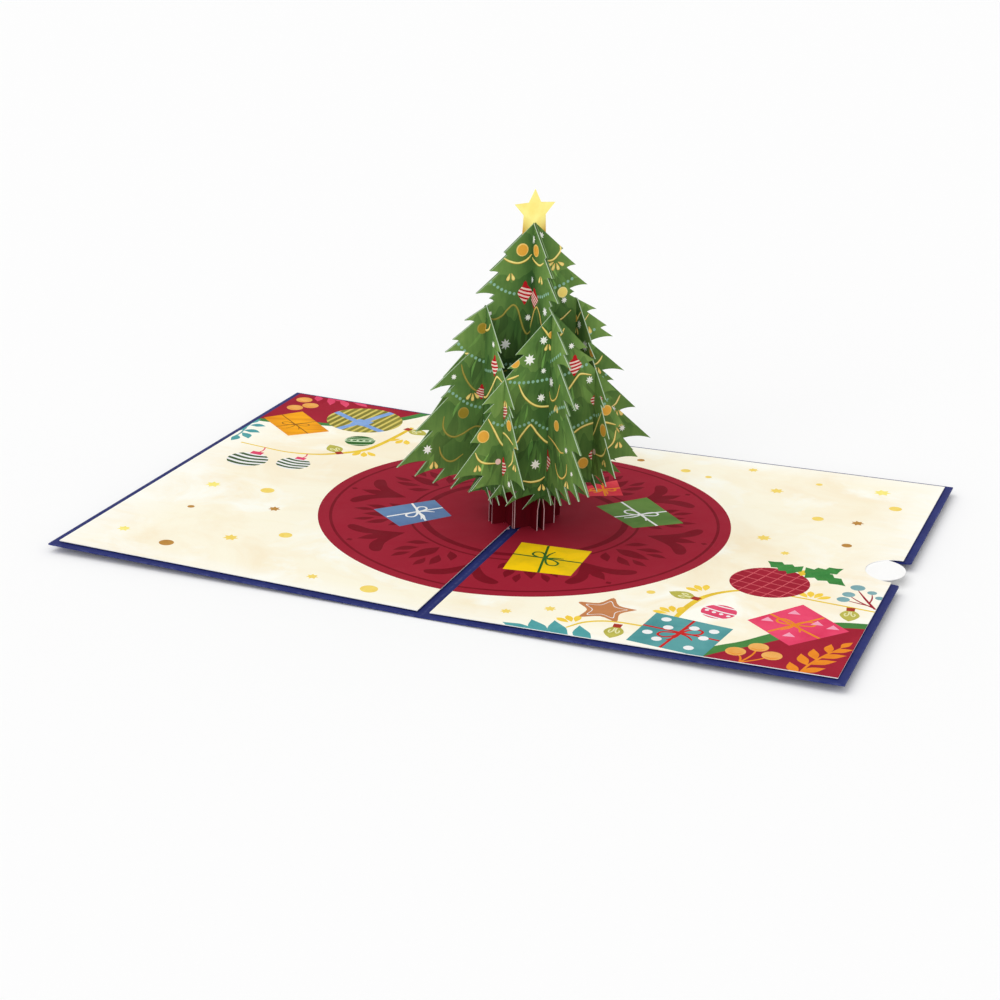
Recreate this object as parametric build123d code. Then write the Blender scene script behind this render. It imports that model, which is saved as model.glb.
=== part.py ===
from build123d import *
import math
import os

# Pop up card with a sliceform fir tree, opened on a table, in millimetres.
# The origin is on the underside of the cover, in the middle of its fold.
# +X runs across the spread, +Y along the fold away from the reader, and +Z is up.

# Cover, one sheet folded once, with its two panels rising a little from the fold
PANEL_WIDTH = 127.0
CARD_DEPTH = 177.8
COVER_THICKNESS = 0.5
PANEL_LIFT = 2.25

# Printed liners, one on each panel
LINER_THICKNESS = 0.25
BORDER = 2.5
FOLD_GAP = 4.0
NOTCH_RADIUS = 10.0
NOTCH_LIP_RADIUS = 1.0

# Note card, held in the pocket behind the right liner, and its play between the strips of tape
NOTE_THICKNESS = 0.3
NOTE_CORNER = 3.0
THUMB_RADIUS = 9.3
POCKET_CLEARANCE = 0.05
NOTE_INNER_CLEARANCE = 7.6
NOTE_END_CLEARANCE = 3.7

# Double sided tape that holds each liner to the cover
TAPE_WIDTH = 5.0
TAPE_INSET = 1.5
TAPE_GAP_AT_TREE = 36.0

# Paper of the tree, and the play of one sheet in the slit of another
SHEET = 0.3
SLIT_CLEARANCE = 0.1
FOOT_CLEARANCE = 0.02

# Full outline of the tree, measured from the cover's upper face and from the tree's middle
TREE_HEIGHT = 100.6
TREE_HALF_WIDTH = 45.9
TREE_CORNER_HEIGHT = 23.9

# Smaller outline of the four crossing sheets, and how far they stand from the middle
CROSS_HEIGHT = 75.4
CROSS_HALF_WIDTH = 32.8
CROSS_CORNER_HEIGHT = 23.7
CROSS_DISTANCE = 16.0

# Ragged hem: its lowest tips, the leaves from the corner to the first crossing slit, and a leaf's size
HEM_HEIGHT = 9.6
TREE_HEM_LEAVES = 4
CROSS_HEM_LEAVES = 2
LEAF_REACH = 4.1
LEAF_DROP = 4.8

# Heights at which the slits of crossing sheets meet
TREE_SLIT_TOP = 43.0
CORNER_SLIT_TOP = 35.0
TRUNK_SLIT_TOP = 13.0

# Trunk: the box of four walls, and the legs of the folded quarters that pass through it
TRUNK_DISTANCE = 7.2
TRUNK_OVERHANG = 0.5
TRUNK_HEIGHT = 26.0
LEG_HALF_WIDTH = 12.4

# Back to back quarters stand apart at the legs, lie together above them, and part round the star's stem
FOOT_SPACING = 2.4
LEG_BEND_START = 8.0
LEG_BEND_END = 14.0
CLOSED_CLEARANCE = 0.1
STEM_BEND_HEIGHT = 4.0
STEM_CLEARANCE = 0.05

# Glued tab under each leg, through a slit in the liner
TAB_LENGTH = 3.4
TAB_DEPTH = 5.0
TAB_FROM_LEG_EDGE = 0.8

# Star: how far each of its corners rises over the tree's top, or drops under it, and stands aside
STAR_TOP_RISE = 10.7
STAR_NOTCH_RISE = 6.5
STAR_NOTCH_ASIDE = 2.1
STAR_POINT_RISE = 6.2
STAR_POINT_ASIDE = 7.0
STAR_WAIST_RISE = 2.5
STAR_WAIST_ASIDE = 3.8
STEM_SHOULDER_DROP = 4.1
STEM_DROP = 18.0
STEM_HALF_WIDTH = 4.1

# Leaf tips down the side of the full outline, and the notch under each one.
# Each is a share of the outline's half width and of its height.
TREE_LEAF_SHARES = [
    ((0.224, 0.911), (0.203, 0.903)),
    ((0.327, 0.855), (0.257, 0.848)),
    ((0.427, 0.786), (0.288, 0.778)),
    ((0.325, 0.766), (0.290, 0.757)),
    ((0.508, 0.702), (0.431, 0.696)),
    ((0.595, 0.643), (0.545, 0.637)),
    ((0.649, 0.604), (0.462, 0.595)),
    ((0.754, 0.483), (0.575, 0.493)),
    ((0.673, 0.454), (0.619, 0.455)),
    ((0.861, 0.352), (0.732, 0.348)),
]
CROSS_LEAF_SHARES = [
    ((0.384, 0.831), (0.293, 0.828)),
    ((0.463, 0.775), (0.399, 0.769)),
    ((0.720, 0.628), (0.595, 0.628)),
    ((0.702, 0.589), (0.622, 0.592)),
    ((0.832, 0.467), (0.732, 0.459)),
]
LEAF_BELLY_SHARE = 0.07

# Angle of the standing sheets to the fold, and how far a cutter runs past the edge of a sheet
SHEET_ANGLE = 45
CUT_MARGIN = 1.0

# Sizes that follow from the ones above
TILT = math.degrees(math.asin(PANEL_LIFT / PANEL_WIDTH))
SLOPE = math.tan(math.radians(TILT))
POCKET = NOTE_THICKNESS + 2 * POCKET_CLEARANCE
LINER_UNDERSIDE = COVER_THICKNESS + POCKET
LINER_TOP = LINER_UNDERSIDE + LINER_THICKNESS
LINER_REACH = PANEL_WIDTH - BORDER
LINER_DEPTH = CARD_DEPTH - 2 * BORDER
TAPE_INNER = FOLD_GAP / 2 + TAPE_INSET
TAPE_OUTER = LINER_REACH - TAPE_INSET
TAPE_END = LINER_DEPTH / 2 - TAPE_INSET
THUMB_MIDDLE = PANEL_WIDTH - THUMB_RADIUS
NOTE_WIDTH = THUMB_MIDDLE - TAPE_INNER - TAPE_WIDTH - NOTE_INNER_CLEARANCE
NOTE_DEPTH = 2 * (TAPE_END - TAPE_WIDTH - NOTE_END_CLEARANCE)
HALF_SLIT = SHEET / 2 + SLIT_CLEARANCE
LEG_OFFSET = FOOT_SPACING / 2
CLOSED_OFFSET = (SHEET + CLOSED_CLEARANCE) / 2
STEM_OFFSET = SHEET + STEM_CLEARANCE
QUARTER_TURNS = {"front": 180, "right": 270, "back": 0, "left": 90}
SPREAD_ANGLES = {name: turn + SHEET_ANGLE for name, turn in QUARTER_TURNS.items()}
UP = Vector(0, 0, 1)


def height(above_cover):
    """Height over the table of something measured from the cover's upper face at the fold."""
    return COVER_THICKNESS + above_cover


def quarter_bends():
    """Profile of a folded quarter's sheet: its distances from the tree's middle plane and their heights."""
    stem_foot = height(TREE_HEIGHT - STEM_DROP)
    return [
        (LEG_OFFSET, 0),
        (LEG_OFFSET, height(LEG_BEND_START)),
        (CLOSED_OFFSET, height(LEG_BEND_END)),
        (CLOSED_OFFSET, stem_foot - STEM_BEND_HEIGHT),
        (STEM_OFFSET, stem_foot),
        (STEM_OFFSET, height(TREE_HEIGHT) + CUT_MARGIN),
    ]


def quarter_offset(z):
    """Distance of a folded quarter's sheet from the tree's middle plane at one height."""
    bends = quarter_bends()
    for (low_offset, low), (high_offset, high) in zip(bends, bends[1:]):
        if z <= high:
            break
    return low_offset + (high_offset - low_offset) * (z - low) / (high - low)


def profile(bottom, top, aside):
    """Points up a quarter's sheet between two heights, set aside from the sheet's own middle."""
    levels = [bottom] + [z for _, z in quarter_bends() if bottom < z < top] + [top]
    return [(quarter_offset(z) + aside, z) for z in levels]


def on_panel(side):
    """Places what is drawn flat on the table onto the lifted panel: side is 1 right, -1 left."""
    return Rot(Y=-side * TILT)


def direction(angle):
    return Vector(math.cos(math.radians(angle)), math.sin(math.radians(angle)), 0)


def closed_face(points):
    return make_face(Polyline(*points, close=True))


def slab(x_range, y_range, z_range):
    """A flat rectangular piece between the given limits."""
    size = [high - low for low, high in (x_range, y_range, z_range)]
    middle = [(high + low) / 2 for low, high in (x_range, y_range, z_range)]
    return Pos(*middle) * Box(*size)


def is_notch_lip(point):
    """Whether a point is on a corner of the notch, where it meets the right edge of the cover."""
    corner_x = PANEL_WIDTH * math.cos(math.radians(TILT))
    near_edge = abs(point.X - corner_x) < COVER_THICKNESS
    return near_edge and abs(abs(point.Y) - NOTCH_RADIUS) < COVER_THICKNESS


def make_cover():
    end = direction(TILT) * PANEL_WIDTH
    rise = direction(TILT + 90) * COVER_THICKNESS
    crown = COVER_THICKNESS / math.cos(math.radians(TILT))
    section = [
        (0, 0),
        (end.X, end.Y),
        (end.X + rise.X, end.Y + rise.Y),
        (0, crown),
        (-end.X - rise.X, end.Y + rise.Y),
        (-end.X, end.Y),
    ]
    sheet = extrude(Plane.XZ * closed_face(section), CARD_DEPTH / 2, both=True)
    notch = on_panel(1) * Pos(PANEL_WIDTH, 0, 0) * Cylinder(NOTCH_RADIUS, 4 * COVER_THICKNESS)
    sheet -= notch
    lips = sheet.edges().filter_by(lambda edge: is_notch_lip(edge.center()))
    return fillet(lips, NOTCH_LIP_RADIUS)


def tab_slits(side):
    """Cutters for the slits in one liner, one for each leg that stands on it."""
    cutters = []
    for name in SPREAD_ANGLES:
        for wing in quarter_wings(name):
            if wing["side"] == side:
                start, end = tab_span()
                length = end - start + 2 * SLIT_CLEARANCE
                slit = Box(length, 2 * HALF_SLIT, 4 * LINER_TOP)
                middle = wing["along"] * ((start + end) / 2) + wing["inward"] * quarter_offset(LINER_TOP)
                cutters.append(Pos(middle.X, middle.Y, LINER_TOP) * Rot(Z=wing["angle"]) * slit)
    return cutters


def make_liner(side):
    span = sorted((side * FOLD_GAP / 2, side * LINER_REACH))
    half_depth = LINER_DEPTH / 2
    sheet = slab(span, (-half_depth, half_depth), (LINER_UNDERSIDE, LINER_TOP))
    if side > 0:
        sheet -= Pos(LINER_REACH, 0, LINER_TOP) * Cylinder(NOTCH_RADIUS, 4 * LINER_THICKNESS)
    return on_panel(side) * sheet - tab_slits(side)


def make_tape(side):
    """Tape strips: two along the card's ends, two beside the fold, and on the left one at the edge."""
    layer = (COVER_THICKNESS, LINER_UNDERSIDE)
    end = TAPE_END - TAPE_WIDTH
    strips = []
    for way in (-1, 1):
        near_end = sorted((way * end, way * TAPE_END))
        beside_fold = sorted((way * TAPE_GAP_AT_TREE / 2, way * end))
        strips.append(slab((TAPE_INNER, TAPE_OUTER), near_end, layer))
        strips.append(slab((TAPE_INNER, TAPE_INNER + TAPE_WIDTH), beside_fold, layer))
    if side < 0:
        strips.append(slab((TAPE_OUTER - TAPE_WIDTH, TAPE_OUTER), (-end, end), layer))
    tape = Part() + strips
    if side < 0:
        tape = mirror(tape, about=Plane.YZ)
    return on_panel(side) * tape


def make_notecard():
    bottom = COVER_THICKNESS + POCKET_CLEARANCE
    outline = Pos(THUMB_MIDDLE - NOTE_WIDTH / 2, 0) * RectangleRounded(NOTE_WIDTH, NOTE_DEPTH, NOTE_CORNER)
    outline += Pos(THUMB_MIDDLE, 0) * Circle(THUMB_RADIUS)
    return on_panel(1) * extrude(Pos(0, 0, bottom) * outline, NOTE_THICKNESS)


def bowed(start, end):
    """One edge of a leaf, bellied to the left of its run."""
    start = Vector(*start)
    end = Vector(*end)
    run = end - start
    middle = (start + end) * 0.5 + Vector(-run.Y, run.X) * LEAF_BELLY_SHARE
    return ThreePointArc(start, middle, end)


def side_leaves(leaves, half_width, full_height):
    """Tips and notches from the highest leaf to the lowest, as points above the table."""
    points = []
    for tip, notch in leaves:
        for across, up in (tip, notch):
            points.append((across * half_width, height(up * full_height)))
    return points


def hem_leaves(half_width, corner_height, outer_leaves, inner_limit):
    """Corner tip, then notches and tips of the hem, spaced so that no crossing slit cuts off a tip."""
    points = [(half_width, height(corner_height))]
    last_outer_tip = CROSS_DISTANCE + 2 * HALF_SLIT + LEAF_REACH
    pitch = (half_width - last_outer_tip) / outer_leaves
    across = half_width - pitch
    while across - LEAF_REACH > inner_limit:
        share = (across / half_width) ** 2
        tip_height = height(HEM_HEIGHT + (corner_height - HEM_HEIGHT) * share)
        points.append((across - LEAF_REACH, tip_height + LEAF_DROP))
        points.append((across, tip_height))
        across -= pitch
    return points


def leafy_edges(points, start, end):
    """Edges from start through alternate tips and notches to end: roofs straight, undersides bowed."""
    edges = []
    here = start
    for number, point in enumerate(points + [end]):
        is_tip = number % 2 == 0
        edges.append(Line(here, point) if is_tip else bowed(point, here))
        here = point
    return edges


def on_slope(layer, across):
    """Height over the table of a layer of the card, under a standing sheet at the given distance."""
    from_fold = (across + FOOT_SPACING / 2) * math.cos(math.radians(SHEET_ANGLE))
    return layer + SLOPE * from_fold


def foot_height(across):
    """Height of a standing sheet's lower edge over the sloping liner."""
    return on_slope(LINER_TOP, across) + FOOT_CLEARANCE


def tab_span():
    end = LEG_HALF_WIDTH - TAB_FROM_LEG_EDGE
    return end - TAB_LENGTH, end


def upright_slit(across, bottom, top):
    """Cutter in the drawing of a sheet, for a crossing sheet that stands at the given distance."""
    return Pos(across, (bottom + top) / 2) * Rectangle(2 * HALF_SLIT, top - bottom)


def mirrored(points):
    return [(-across, up) for across, up in reversed(points)]


def pair_slit(bottom, top):
    """Cutter for the two back to back sheets at the middle, which follows their bends."""
    side = profile(bottom, top, HALF_SLIT)
    return closed_face(side + mirrored(side))


def quarter_wings(name):
    """The two wings of a folded quarter: each one's angle, run, side of the fold and way inward."""
    first = SPREAD_ANGLES[name]
    wings = []
    for angle, turn in ((first, 90), (first + 90, -90)):
        along = direction(angle)
        wings.append({
            "angle": angle,
            "along": along,
            "inward": direction(angle + turn),
            "side": 1 if along.X > 0 else -1,
        })
    return wings


def wing_drawing():
    """Outline of one wing, drawn from the fold of the quarter outwards, with its slits."""
    inner_edge = profile(foot_height(0), height(TREE_HEIGHT), -SHEET / 2)
    leg_foot = (LEG_HALF_WIDTH, foot_height(LEG_HALF_WIDTH))
    leg_top = (LEG_HALF_WIDTH, height(HEM_HEIGHT) + LEAF_DROP / 2)
    leaves = side_leaves(TREE_LEAF_SHARES, TREE_HALF_WIDTH, TREE_HEIGHT)
    leaves += hem_leaves(TREE_HALF_WIDTH, TREE_CORNER_HEIGHT, TREE_HEM_LEAVES, LEG_HALF_WIDTH)
    edges = leafy_edges(leaves, inner_edge[-1], leg_top)
    edges.append(Polyline(leg_top, leg_foot, *inner_edge))
    drawing = make_face(edges)
    start, end = tab_span()
    tab_low = [(across, on_slope(LINER_UNDERSIDE - SHEET, across)) for across in (start, end)]
    tab_high = [(across, foot_height(across) + SHEET) for across in (end, start)]
    drawing += closed_face(tab_low + tab_high)
    drawing -= upright_slit(CROSS_DISTANCE, 0, height(TREE_SLIT_TOP))
    drawing -= upright_slit(TRUNK_DISTANCE, 0, height(TRUNK_SLIT_TOP))
    return drawing


def bent_layer(wing):
    """The layer of space that a wing's sheet lies in, bent to the quarter's profile."""
    top = height(TREE_HEIGHT) + CUT_MARGIN
    outer_side = profile(0, top, SHEET / 2)
    inner_side = profile(0, top, -SHEET / 2)
    across = Plane((0, 0, 0), x_dir=wing["inward"], z_dir=wing["inward"].cross(UP))
    section = closed_face(outer_side + inner_side[::-1])
    return extrude(across * section, TREE_HALF_WIDTH + CUT_MARGIN, both=True)


def make_wing(wing, drawing):
    """One wing standing on its panel, with its glued tab."""
    stand = Plane((0, 0, 0), x_dir=wing["along"], z_dir=wing["along"].cross(UP))
    sheet = extrude(stand * drawing, FOOT_SPACING, both=True) & bent_layer(wing)
    start, end = tab_span()
    middle = wing["along"] * ((start + end) / 2) + wing["inward"] * (LEG_OFFSET + TAB_DEPTH / 2)
    tab = Rot(Z=wing["angle"]) * Box(end - start, TAB_DEPTH, SHEET)
    tab = on_panel(wing["side"]) * Pos(middle.X, middle.Y, LINER_UNDERSIDE - SHEET / 2) * tab
    return sheet + tab


def make_quarter(name, drawing):
    first, second = quarter_wings(name)
    return make_wing(first, drawing) + make_wing(second, drawing)


def cross_drawing(corner_slits_open_down):
    """Outline of a crossing sheet, whole across the tree, slit for the quarters and its neighbours."""
    peak = (0, height(CROSS_HEIGHT))
    hem_middle = (0, height(HEM_HEIGHT) + LEAF_DROP)
    leaves = side_leaves(CROSS_LEAF_SHARES, CROSS_HALF_WIDTH, CROSS_HEIGHT)
    leaves += hem_leaves(CROSS_HALF_WIDTH, CROSS_CORNER_HEIGHT, CROSS_HEM_LEAVES, 0)
    right = make_face(leafy_edges(leaves, peak, hem_middle) + [Line(hem_middle, peak)])
    drawing = right + mirror(right, about=Plane.YZ)
    drawing -= pair_slit(height(TREE_SLIT_TOP), height(CROSS_HEIGHT) + CUT_MARGIN)
    corner = height(CORNER_SLIT_TOP)
    span = (0, corner) if corner_slits_open_down else (corner, height(CROSS_HEIGHT))
    for across in (-CROSS_DISTANCE, CROSS_DISTANCE):
        drawing -= upright_slit(across, *span)
    return drawing


def trunk_drawing(corner_slits_open_down):
    """Outline of one wall of the trunk, with its slits."""
    reach = TRUNK_DISTANCE + TRUNK_OVERHANG
    far_foot = foot_height(TRUNK_DISTANCE + reach)
    near_foot = foot_height(TRUNK_DISTANCE - reach)
    top = height(TRUNK_HEIGHT)
    drawing = closed_face([(-reach, near_foot), (reach, far_foot), (reach, top), (-reach, top)])
    meeting = height(TRUNK_SLIT_TOP)
    drawing -= pair_slit(meeting, top + CUT_MARGIN)
    span = (0, meeting) if corner_slits_open_down else (meeting, top + CUT_MARGIN)
    for across in (-TRUNK_DISTANCE, TRUNK_DISTANCE):
        drawing -= upright_slit(across, *span)
    return drawing


def make_standing(drawing, angle, distance):
    """Stands a drawing up across the given angle, with its drawn right end away from the fold."""
    out = direction(angle)
    along = direction(angle + 90)
    if abs(along.X + out.X) < abs(out.X):
        along = along * -1
    stand = Plane(out * distance, x_dir=along, z_dir=along.cross(UP))
    return extrude(stand * drawing, SHEET / 2, both=True)


def make_star():
    """Five pointed star on a stem that drops between the front and the back quarters."""
    tree_top = height(TREE_HEIGHT)
    right = [
        (0, tree_top + STAR_TOP_RISE),
        (STAR_NOTCH_ASIDE, tree_top + STAR_NOTCH_RISE),
        (STAR_POINT_ASIDE, tree_top + STAR_POINT_RISE),
        (STAR_WAIST_ASIDE, tree_top + STAR_WAIST_RISE),
        (STEM_HALF_WIDTH, tree_top - STEM_SHOULDER_DROP),
        (STEM_HALF_WIDTH, tree_top - STEM_DROP),
    ]
    outline = closed_face(right + mirrored(right)[:-1])
    stand = Plane((0, 0, 0), x_dir=direction(SHEET_ANGLE), z_dir=direction(SHEET_ANGLE - 90))
    return extrude(stand * outline, SHEET / 2, both=True)


def all_nodes():
    nodes = {
        "cover": make_cover(),
        "liner_left": make_liner(-1),
        "liner_right": make_liner(1),
        "liner_tape_left": make_tape(-1),
        "liner_tape_right": make_tape(1),
        "notecard": make_notecard(),
        "star_topper": make_star(),
    }
    wing = wing_drawing()
    for name in SPREAD_ANGLES:
        nodes["tree_quarter_" + name] = make_quarter(name, wing)
    sides = {"front_right": "right", "back_left": "left", "front_left": "front", "back_right": "back"}
    for name, quarter in sides.items():
        angle = SPREAD_ANGLES[quarter]
        open_down = quarter in ("front", "back")
        nodes["cross_sheet_" + name] = make_standing(cross_drawing(open_down), angle, CROSS_DISTANCE)
        nodes["trunk_wall_" + name] = make_standing(trunk_drawing(open_down), angle, TRUNK_DISTANCE)
    return nodes


os.makedirs("parts", exist_ok=True)
for node, solid in all_nodes().items():
    solid.label = node
    export_step(solid, "parts/" + node + ".step")
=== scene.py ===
"""A pop up card with a slotted paper fir tree: print, paper, light and camera round the CAD frame."""

import math
import random

import bmesh
import bpy
import numpy as np
from mathutils import Matrix, Vector
from mathutils.geometry import delaunay_2d_cdt


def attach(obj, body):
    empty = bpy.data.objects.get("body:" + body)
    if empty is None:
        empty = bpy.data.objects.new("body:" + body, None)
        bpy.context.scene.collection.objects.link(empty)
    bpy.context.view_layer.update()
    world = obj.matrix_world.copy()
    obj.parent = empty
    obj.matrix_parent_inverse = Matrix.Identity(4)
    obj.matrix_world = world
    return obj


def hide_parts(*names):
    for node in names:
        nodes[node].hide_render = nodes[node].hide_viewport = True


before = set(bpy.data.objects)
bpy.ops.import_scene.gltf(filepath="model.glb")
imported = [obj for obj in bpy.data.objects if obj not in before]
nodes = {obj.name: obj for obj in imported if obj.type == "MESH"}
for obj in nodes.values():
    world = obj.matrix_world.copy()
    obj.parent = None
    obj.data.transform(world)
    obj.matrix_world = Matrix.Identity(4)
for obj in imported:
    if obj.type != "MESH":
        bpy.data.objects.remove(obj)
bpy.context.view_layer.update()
MM = 0.001
UP = Vector((0, 0, 1))
COVER_TOP = 0.5  # mm, where heights in the drawings of the tree start

# Height and half width of the printed trees, the hem's lowest tips and the legs' print, in millimetres
LARGE = (100.6, 45.9)
SMALL = (75.4, 32.8)
HEM = 9.6
LEG_HALF_WIDTH = 12.4
LEG_TOP = 0.0112  # metres above the table, where a cut edge turns from the legs' red to the needles' green

# Tolerances: of the drawings in millimetres, of the meshes in metres
DRAWN_TOGETHER = 1e-4
SAME_CORNER = 1e-6
WELD = 5e-7
ON_EDGE = 3e-7
SAME_PLANE = 2e-5
NO_LENGTH = 2e-7
NO_AREA = 1e-9  # square millimetres
PRINTED_AREA = 6e-6  # square metres, more than any cut edge has and less than a bent strip of a wing

# Roughness of matt and satin paper, and how deep the fibres' relief is in metres
MATT, SATIN = 0.75, 0.66
RELIEF = 0.00002

# The photograph's view, in degrees, millimetres and metres
AZIMUTH, ELEVATION, ROLL = 20.293, 20.10, 1.712
SENSOR, LENS = 36.0, 76.262
TARGET, DISTANCE = Vector((-0.014276, 0.0148, 0.0005)), 0.72199

# The floor in metres; strengths of the even light and the suns, how wide the suns are, and where they stand
FLOOR_REACH, FLOOR_LEVEL = 12.0, -0.0002
AMBIENT, SUN_SPREAD = 0.635, 60
SUNS = (("soft_sun", 0.92, (-0.42, -0.22, 1.0)), ("front_fill", 1.25, (0.1, -1.0, 0.3)))


# ---------------------------------------------------------------- node materials
def linear(colour):
    """Linear colour of an eight bit screen colour."""
    shares = [value / 255 for value in colour]
    return (*(s / 12.92 if s <= 0.04045 else ((s + 0.055) / 1.055) ** 2.4 for s in shares), 1.0)


def shade(colour, factor):
    return tuple(min(255, c * factor) for c in colour)


def node(tree, kind, inputs=None, **settings):
    made = tree.nodes.new("ShaderNode" + kind)
    for key, value in settings.items():
        setattr(made, key, value)
    for key, value in (inputs or {}).items():
        if isinstance(value, bpy.types.NodeSocket):
            tree.links.new(value, made.inputs[key])
        else:
            made.inputs[key].default_value = value
    return made


class Surface:
    """The node material of a surface, in the object's own coordinates."""

    def __init__(self, name):
        self.material = bpy.data.materials.new(name)
        self.material.use_nodes = True
        self.tree = self.material.node_tree
        self.tree.nodes.clear()
        self.place = self.add("TexCoord").outputs["Object"]

    def add(self, kind, inputs=None, **settings):
        return node(self.tree, kind, inputs, **settings)

    def split(self, vector=None):
        return self.add("SeparateXYZ", {"Vector": vector or self.place}).outputs

    def moved(self, vector=None, **changes):
        """Coordinates that are shifted, turned or scaled."""
        return self.add("Mapping", {"Vector": vector or self.place, **changes}).outputs["Vector"]

    def noise(self, size, detail=2.0, roughness=0.5, distortion=0.0, place=None):
        """Noise whose features are about size millimetres across."""
        return self.add("TexNoise", {"Vector": place or self.place, "Scale": 1 / (size * MM), "Detail": detail,
                                     "Roughness": roughness, "Distortion": distortion}).outputs["Fac"]

    def remap(self, value, low, high, to_low=0.0, to_high=1.0):
        return self.add("MapRange", {"Value": value, "From Min": low, "From Max": high,
                                     "To Min": to_low, "To Max": to_high}).outputs["Result"]

    def maths(self, operation, first, second=0.0, third=0.0):
        return self.add("Math", {0: first, 1: second, 2: third}, operation=operation).outputs[0]

    def mixed(self, factor, first, second):
        """The first colour where the factor is 0 and the second where it is 1."""
        first, second = (linear(c) if isinstance(c, tuple) else c for c in (first, second))
        return self.add("Mix", {0: factor, 6: first, 7: second}, data_type="RGBA").outputs[2]

    def ramp(self, factor, stops):
        made = self.add("ValToRGB", {"Fac": factor})
        bar = made.color_ramp.elements
        while len(bar) < len(stops):
            bar.new(0.5)
        for element, (position, colour) in zip(bar, stops):
            element.position = position
            element.color = linear(colour)
        return made.outputs["Color"]

    def finish(self, colour, rough=MATT, relief=RELIEF, shine=0.06):
        """Adds the fibres' relief, an uneven dull finish and the shader, and gives the material."""
        fibre = self.noise(0.35, 3.0, 0.65)
        cloud = self.noise(6.0, 2.0)
        gloss = self.maths("MULTIPLY_ADD", cloud, 0.5, self.maths("MULTIPLY", fibre, 0.5))
        bump = self.add("Bump", {"Height": fibre, "Strength": 0.5, "Distance": relief})
        shader = self.add("BsdfPrincipled", {
            "Base Color": colour, "Roughness": self.remap(gloss, 0.3, 0.7, rough - 0.08, rough + 0.08),
            "Normal": bump.outputs["Normal"], "Specular IOR Level": shine})
        self.add("OutputMaterial", {"Surface": shader.outputs["BSDF"]})
        return self.material


def printed(name, colour, other, patch, contrast=1.0):
    """An ink that drifts between two tones in soft patches, given in millimetres, and fine specks."""
    ink = Surface(name)
    drift = ink.noise(patch, 4.0, 0.6, 0.4)
    specks = ink.noise(0.5, 2.0)
    blend = ink.maths("MULTIPLY_ADD", specks, 0.25, ink.maths("MULTIPLY", drift, 0.75))
    spread = 0.16 / contrast
    return ink.finish(ink.mixed(ink.remap(blend, 0.5 - spread, 0.5 + spread), colour, other))


def foliage(name, outline, lift=1.0):
    """Painted needles: soft tiers of boughs, darker by the sheet's middle as painted shade and lighter towards
    their tips; lift makes lighter or darker strokes.
    """
    full_height, half_width = outline
    ink = Surface(name)
    plan = ink.add("Attribute", attribute_name="plan").outputs["Vector"]
    parts = ink.split(plan)
    across, up = parts["X"], parts["Y"]

    def scaled_noise(x_scale, y_scale, *settings):
        """Noise in the drawing's own coordinates, with features 1/x_scale by 1/y_scale wide."""
        return ink.noise(1 / MM, *settings, place=ink.moved(plan, Scale=(x_scale, y_scale, 1.0)))

    width_here = ink.maths("MULTIPLY_ADD", up, -half_width / full_height, half_width + 3.0)
    # Share of the way from the sheet's middle, where quarters fold and crossing sheets cross, to its edge:
    # painted shade by the middle that lightens towards the tips
    out_of_crease_shade = ink.maths("DIVIDE", ink.maths("ABSOLUTE", across), width_here)
    wash = scaled_noise(0.11, 0.07, 3.0, 0.55, 0.6)
    streak = scaled_noise(0.9, 0.12, 3.0, 0.6)
    tier = ink.maths("MULTIPLY_ADD", scaled_noise(0.22, 0.05, 1.0), 1.1, ink.maths("DIVIDE", up, 13.0))
    tone = ink.maths("MULTIPLY_ADD", ink.maths("FRACT", tier), -0.2,
                     ink.maths("MULTIPLY_ADD", out_of_crease_shade, 0.36, 0.12))
    tone = ink.maths("MULTIPLY_ADD", wash, 0.6, tone)
    tone = ink.maths("MULTIPLY_ADD", streak, 0.24, ink.maths("SUBTRACT", tone, 0.12))
    greens = ((0.0, (45, 78, 38)), (0.3, (64, 99, 49)), (0.55, (86, 121, 61)), (0.8, (109, 143, 73)),
              (1.0, (136, 167, 93)))
    return ink.finish(ink.ramp(tone, [(share, shade(green, lift)) for share, green in greens]))


def wrapping(name, colour, edge, angle, stretch=1.0):
    """Painted gift paper with a soft gradient and brush marks; a small stretch draws them out into streaks."""
    ink = Surface(name)
    turned = ink.moved(Rotation=(0, 0, math.radians(angle)))
    wave = ink.maths("SINE", ink.maths("MULTIPLY", ink.split(turned)["X"], 260.0))
    marks = ink.moved(turned, Scale=(stretch, 1 / stretch ** 0.5, 1.0))
    blot = ink.noise(9.0, 4.0, 0.6, 0.5, marks)
    factor = ink.remap(ink.maths("MULTIPLY_ADD", wave, 0.12, blot), 0.35, 0.75)
    return ink.finish(ink.mixed(factor, colour, edge), SATIN)


def cover_card():
    """Dark blue card, paler where the fold and the edges rub."""
    card = Surface("navy_card")
    parts = card.split()
    aside, ends = (card.maths("ABSOLUTE", parts[axis]) for axis in "XY")
    fold = card.remap(aside, 0.0006, 0.0, 0.0, 0.3)
    rim = card.maths("MAXIMUM", card.remap(aside, 0.1262, 0.127), card.remap(ends, 0.0882, 0.0889))
    rubbed = card.maths("MAXIMUM", fold, card.maths("MULTIPLY", rim, 0.25))
    wear = card.maths("MULTIPLY", rubbed, card.remap(card.noise(1.4, 4.0, 0.7), 0.42, 0.68))
    base = card.mixed(card.remap(card.noise(18.0, 3.0), 0.35, 0.65), (35, 44, 107), (31, 38, 97))
    return card.finish(card.mixed(wear, base, (112, 120, 168)), 0.65, 0.00003, 0.12)


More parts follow.
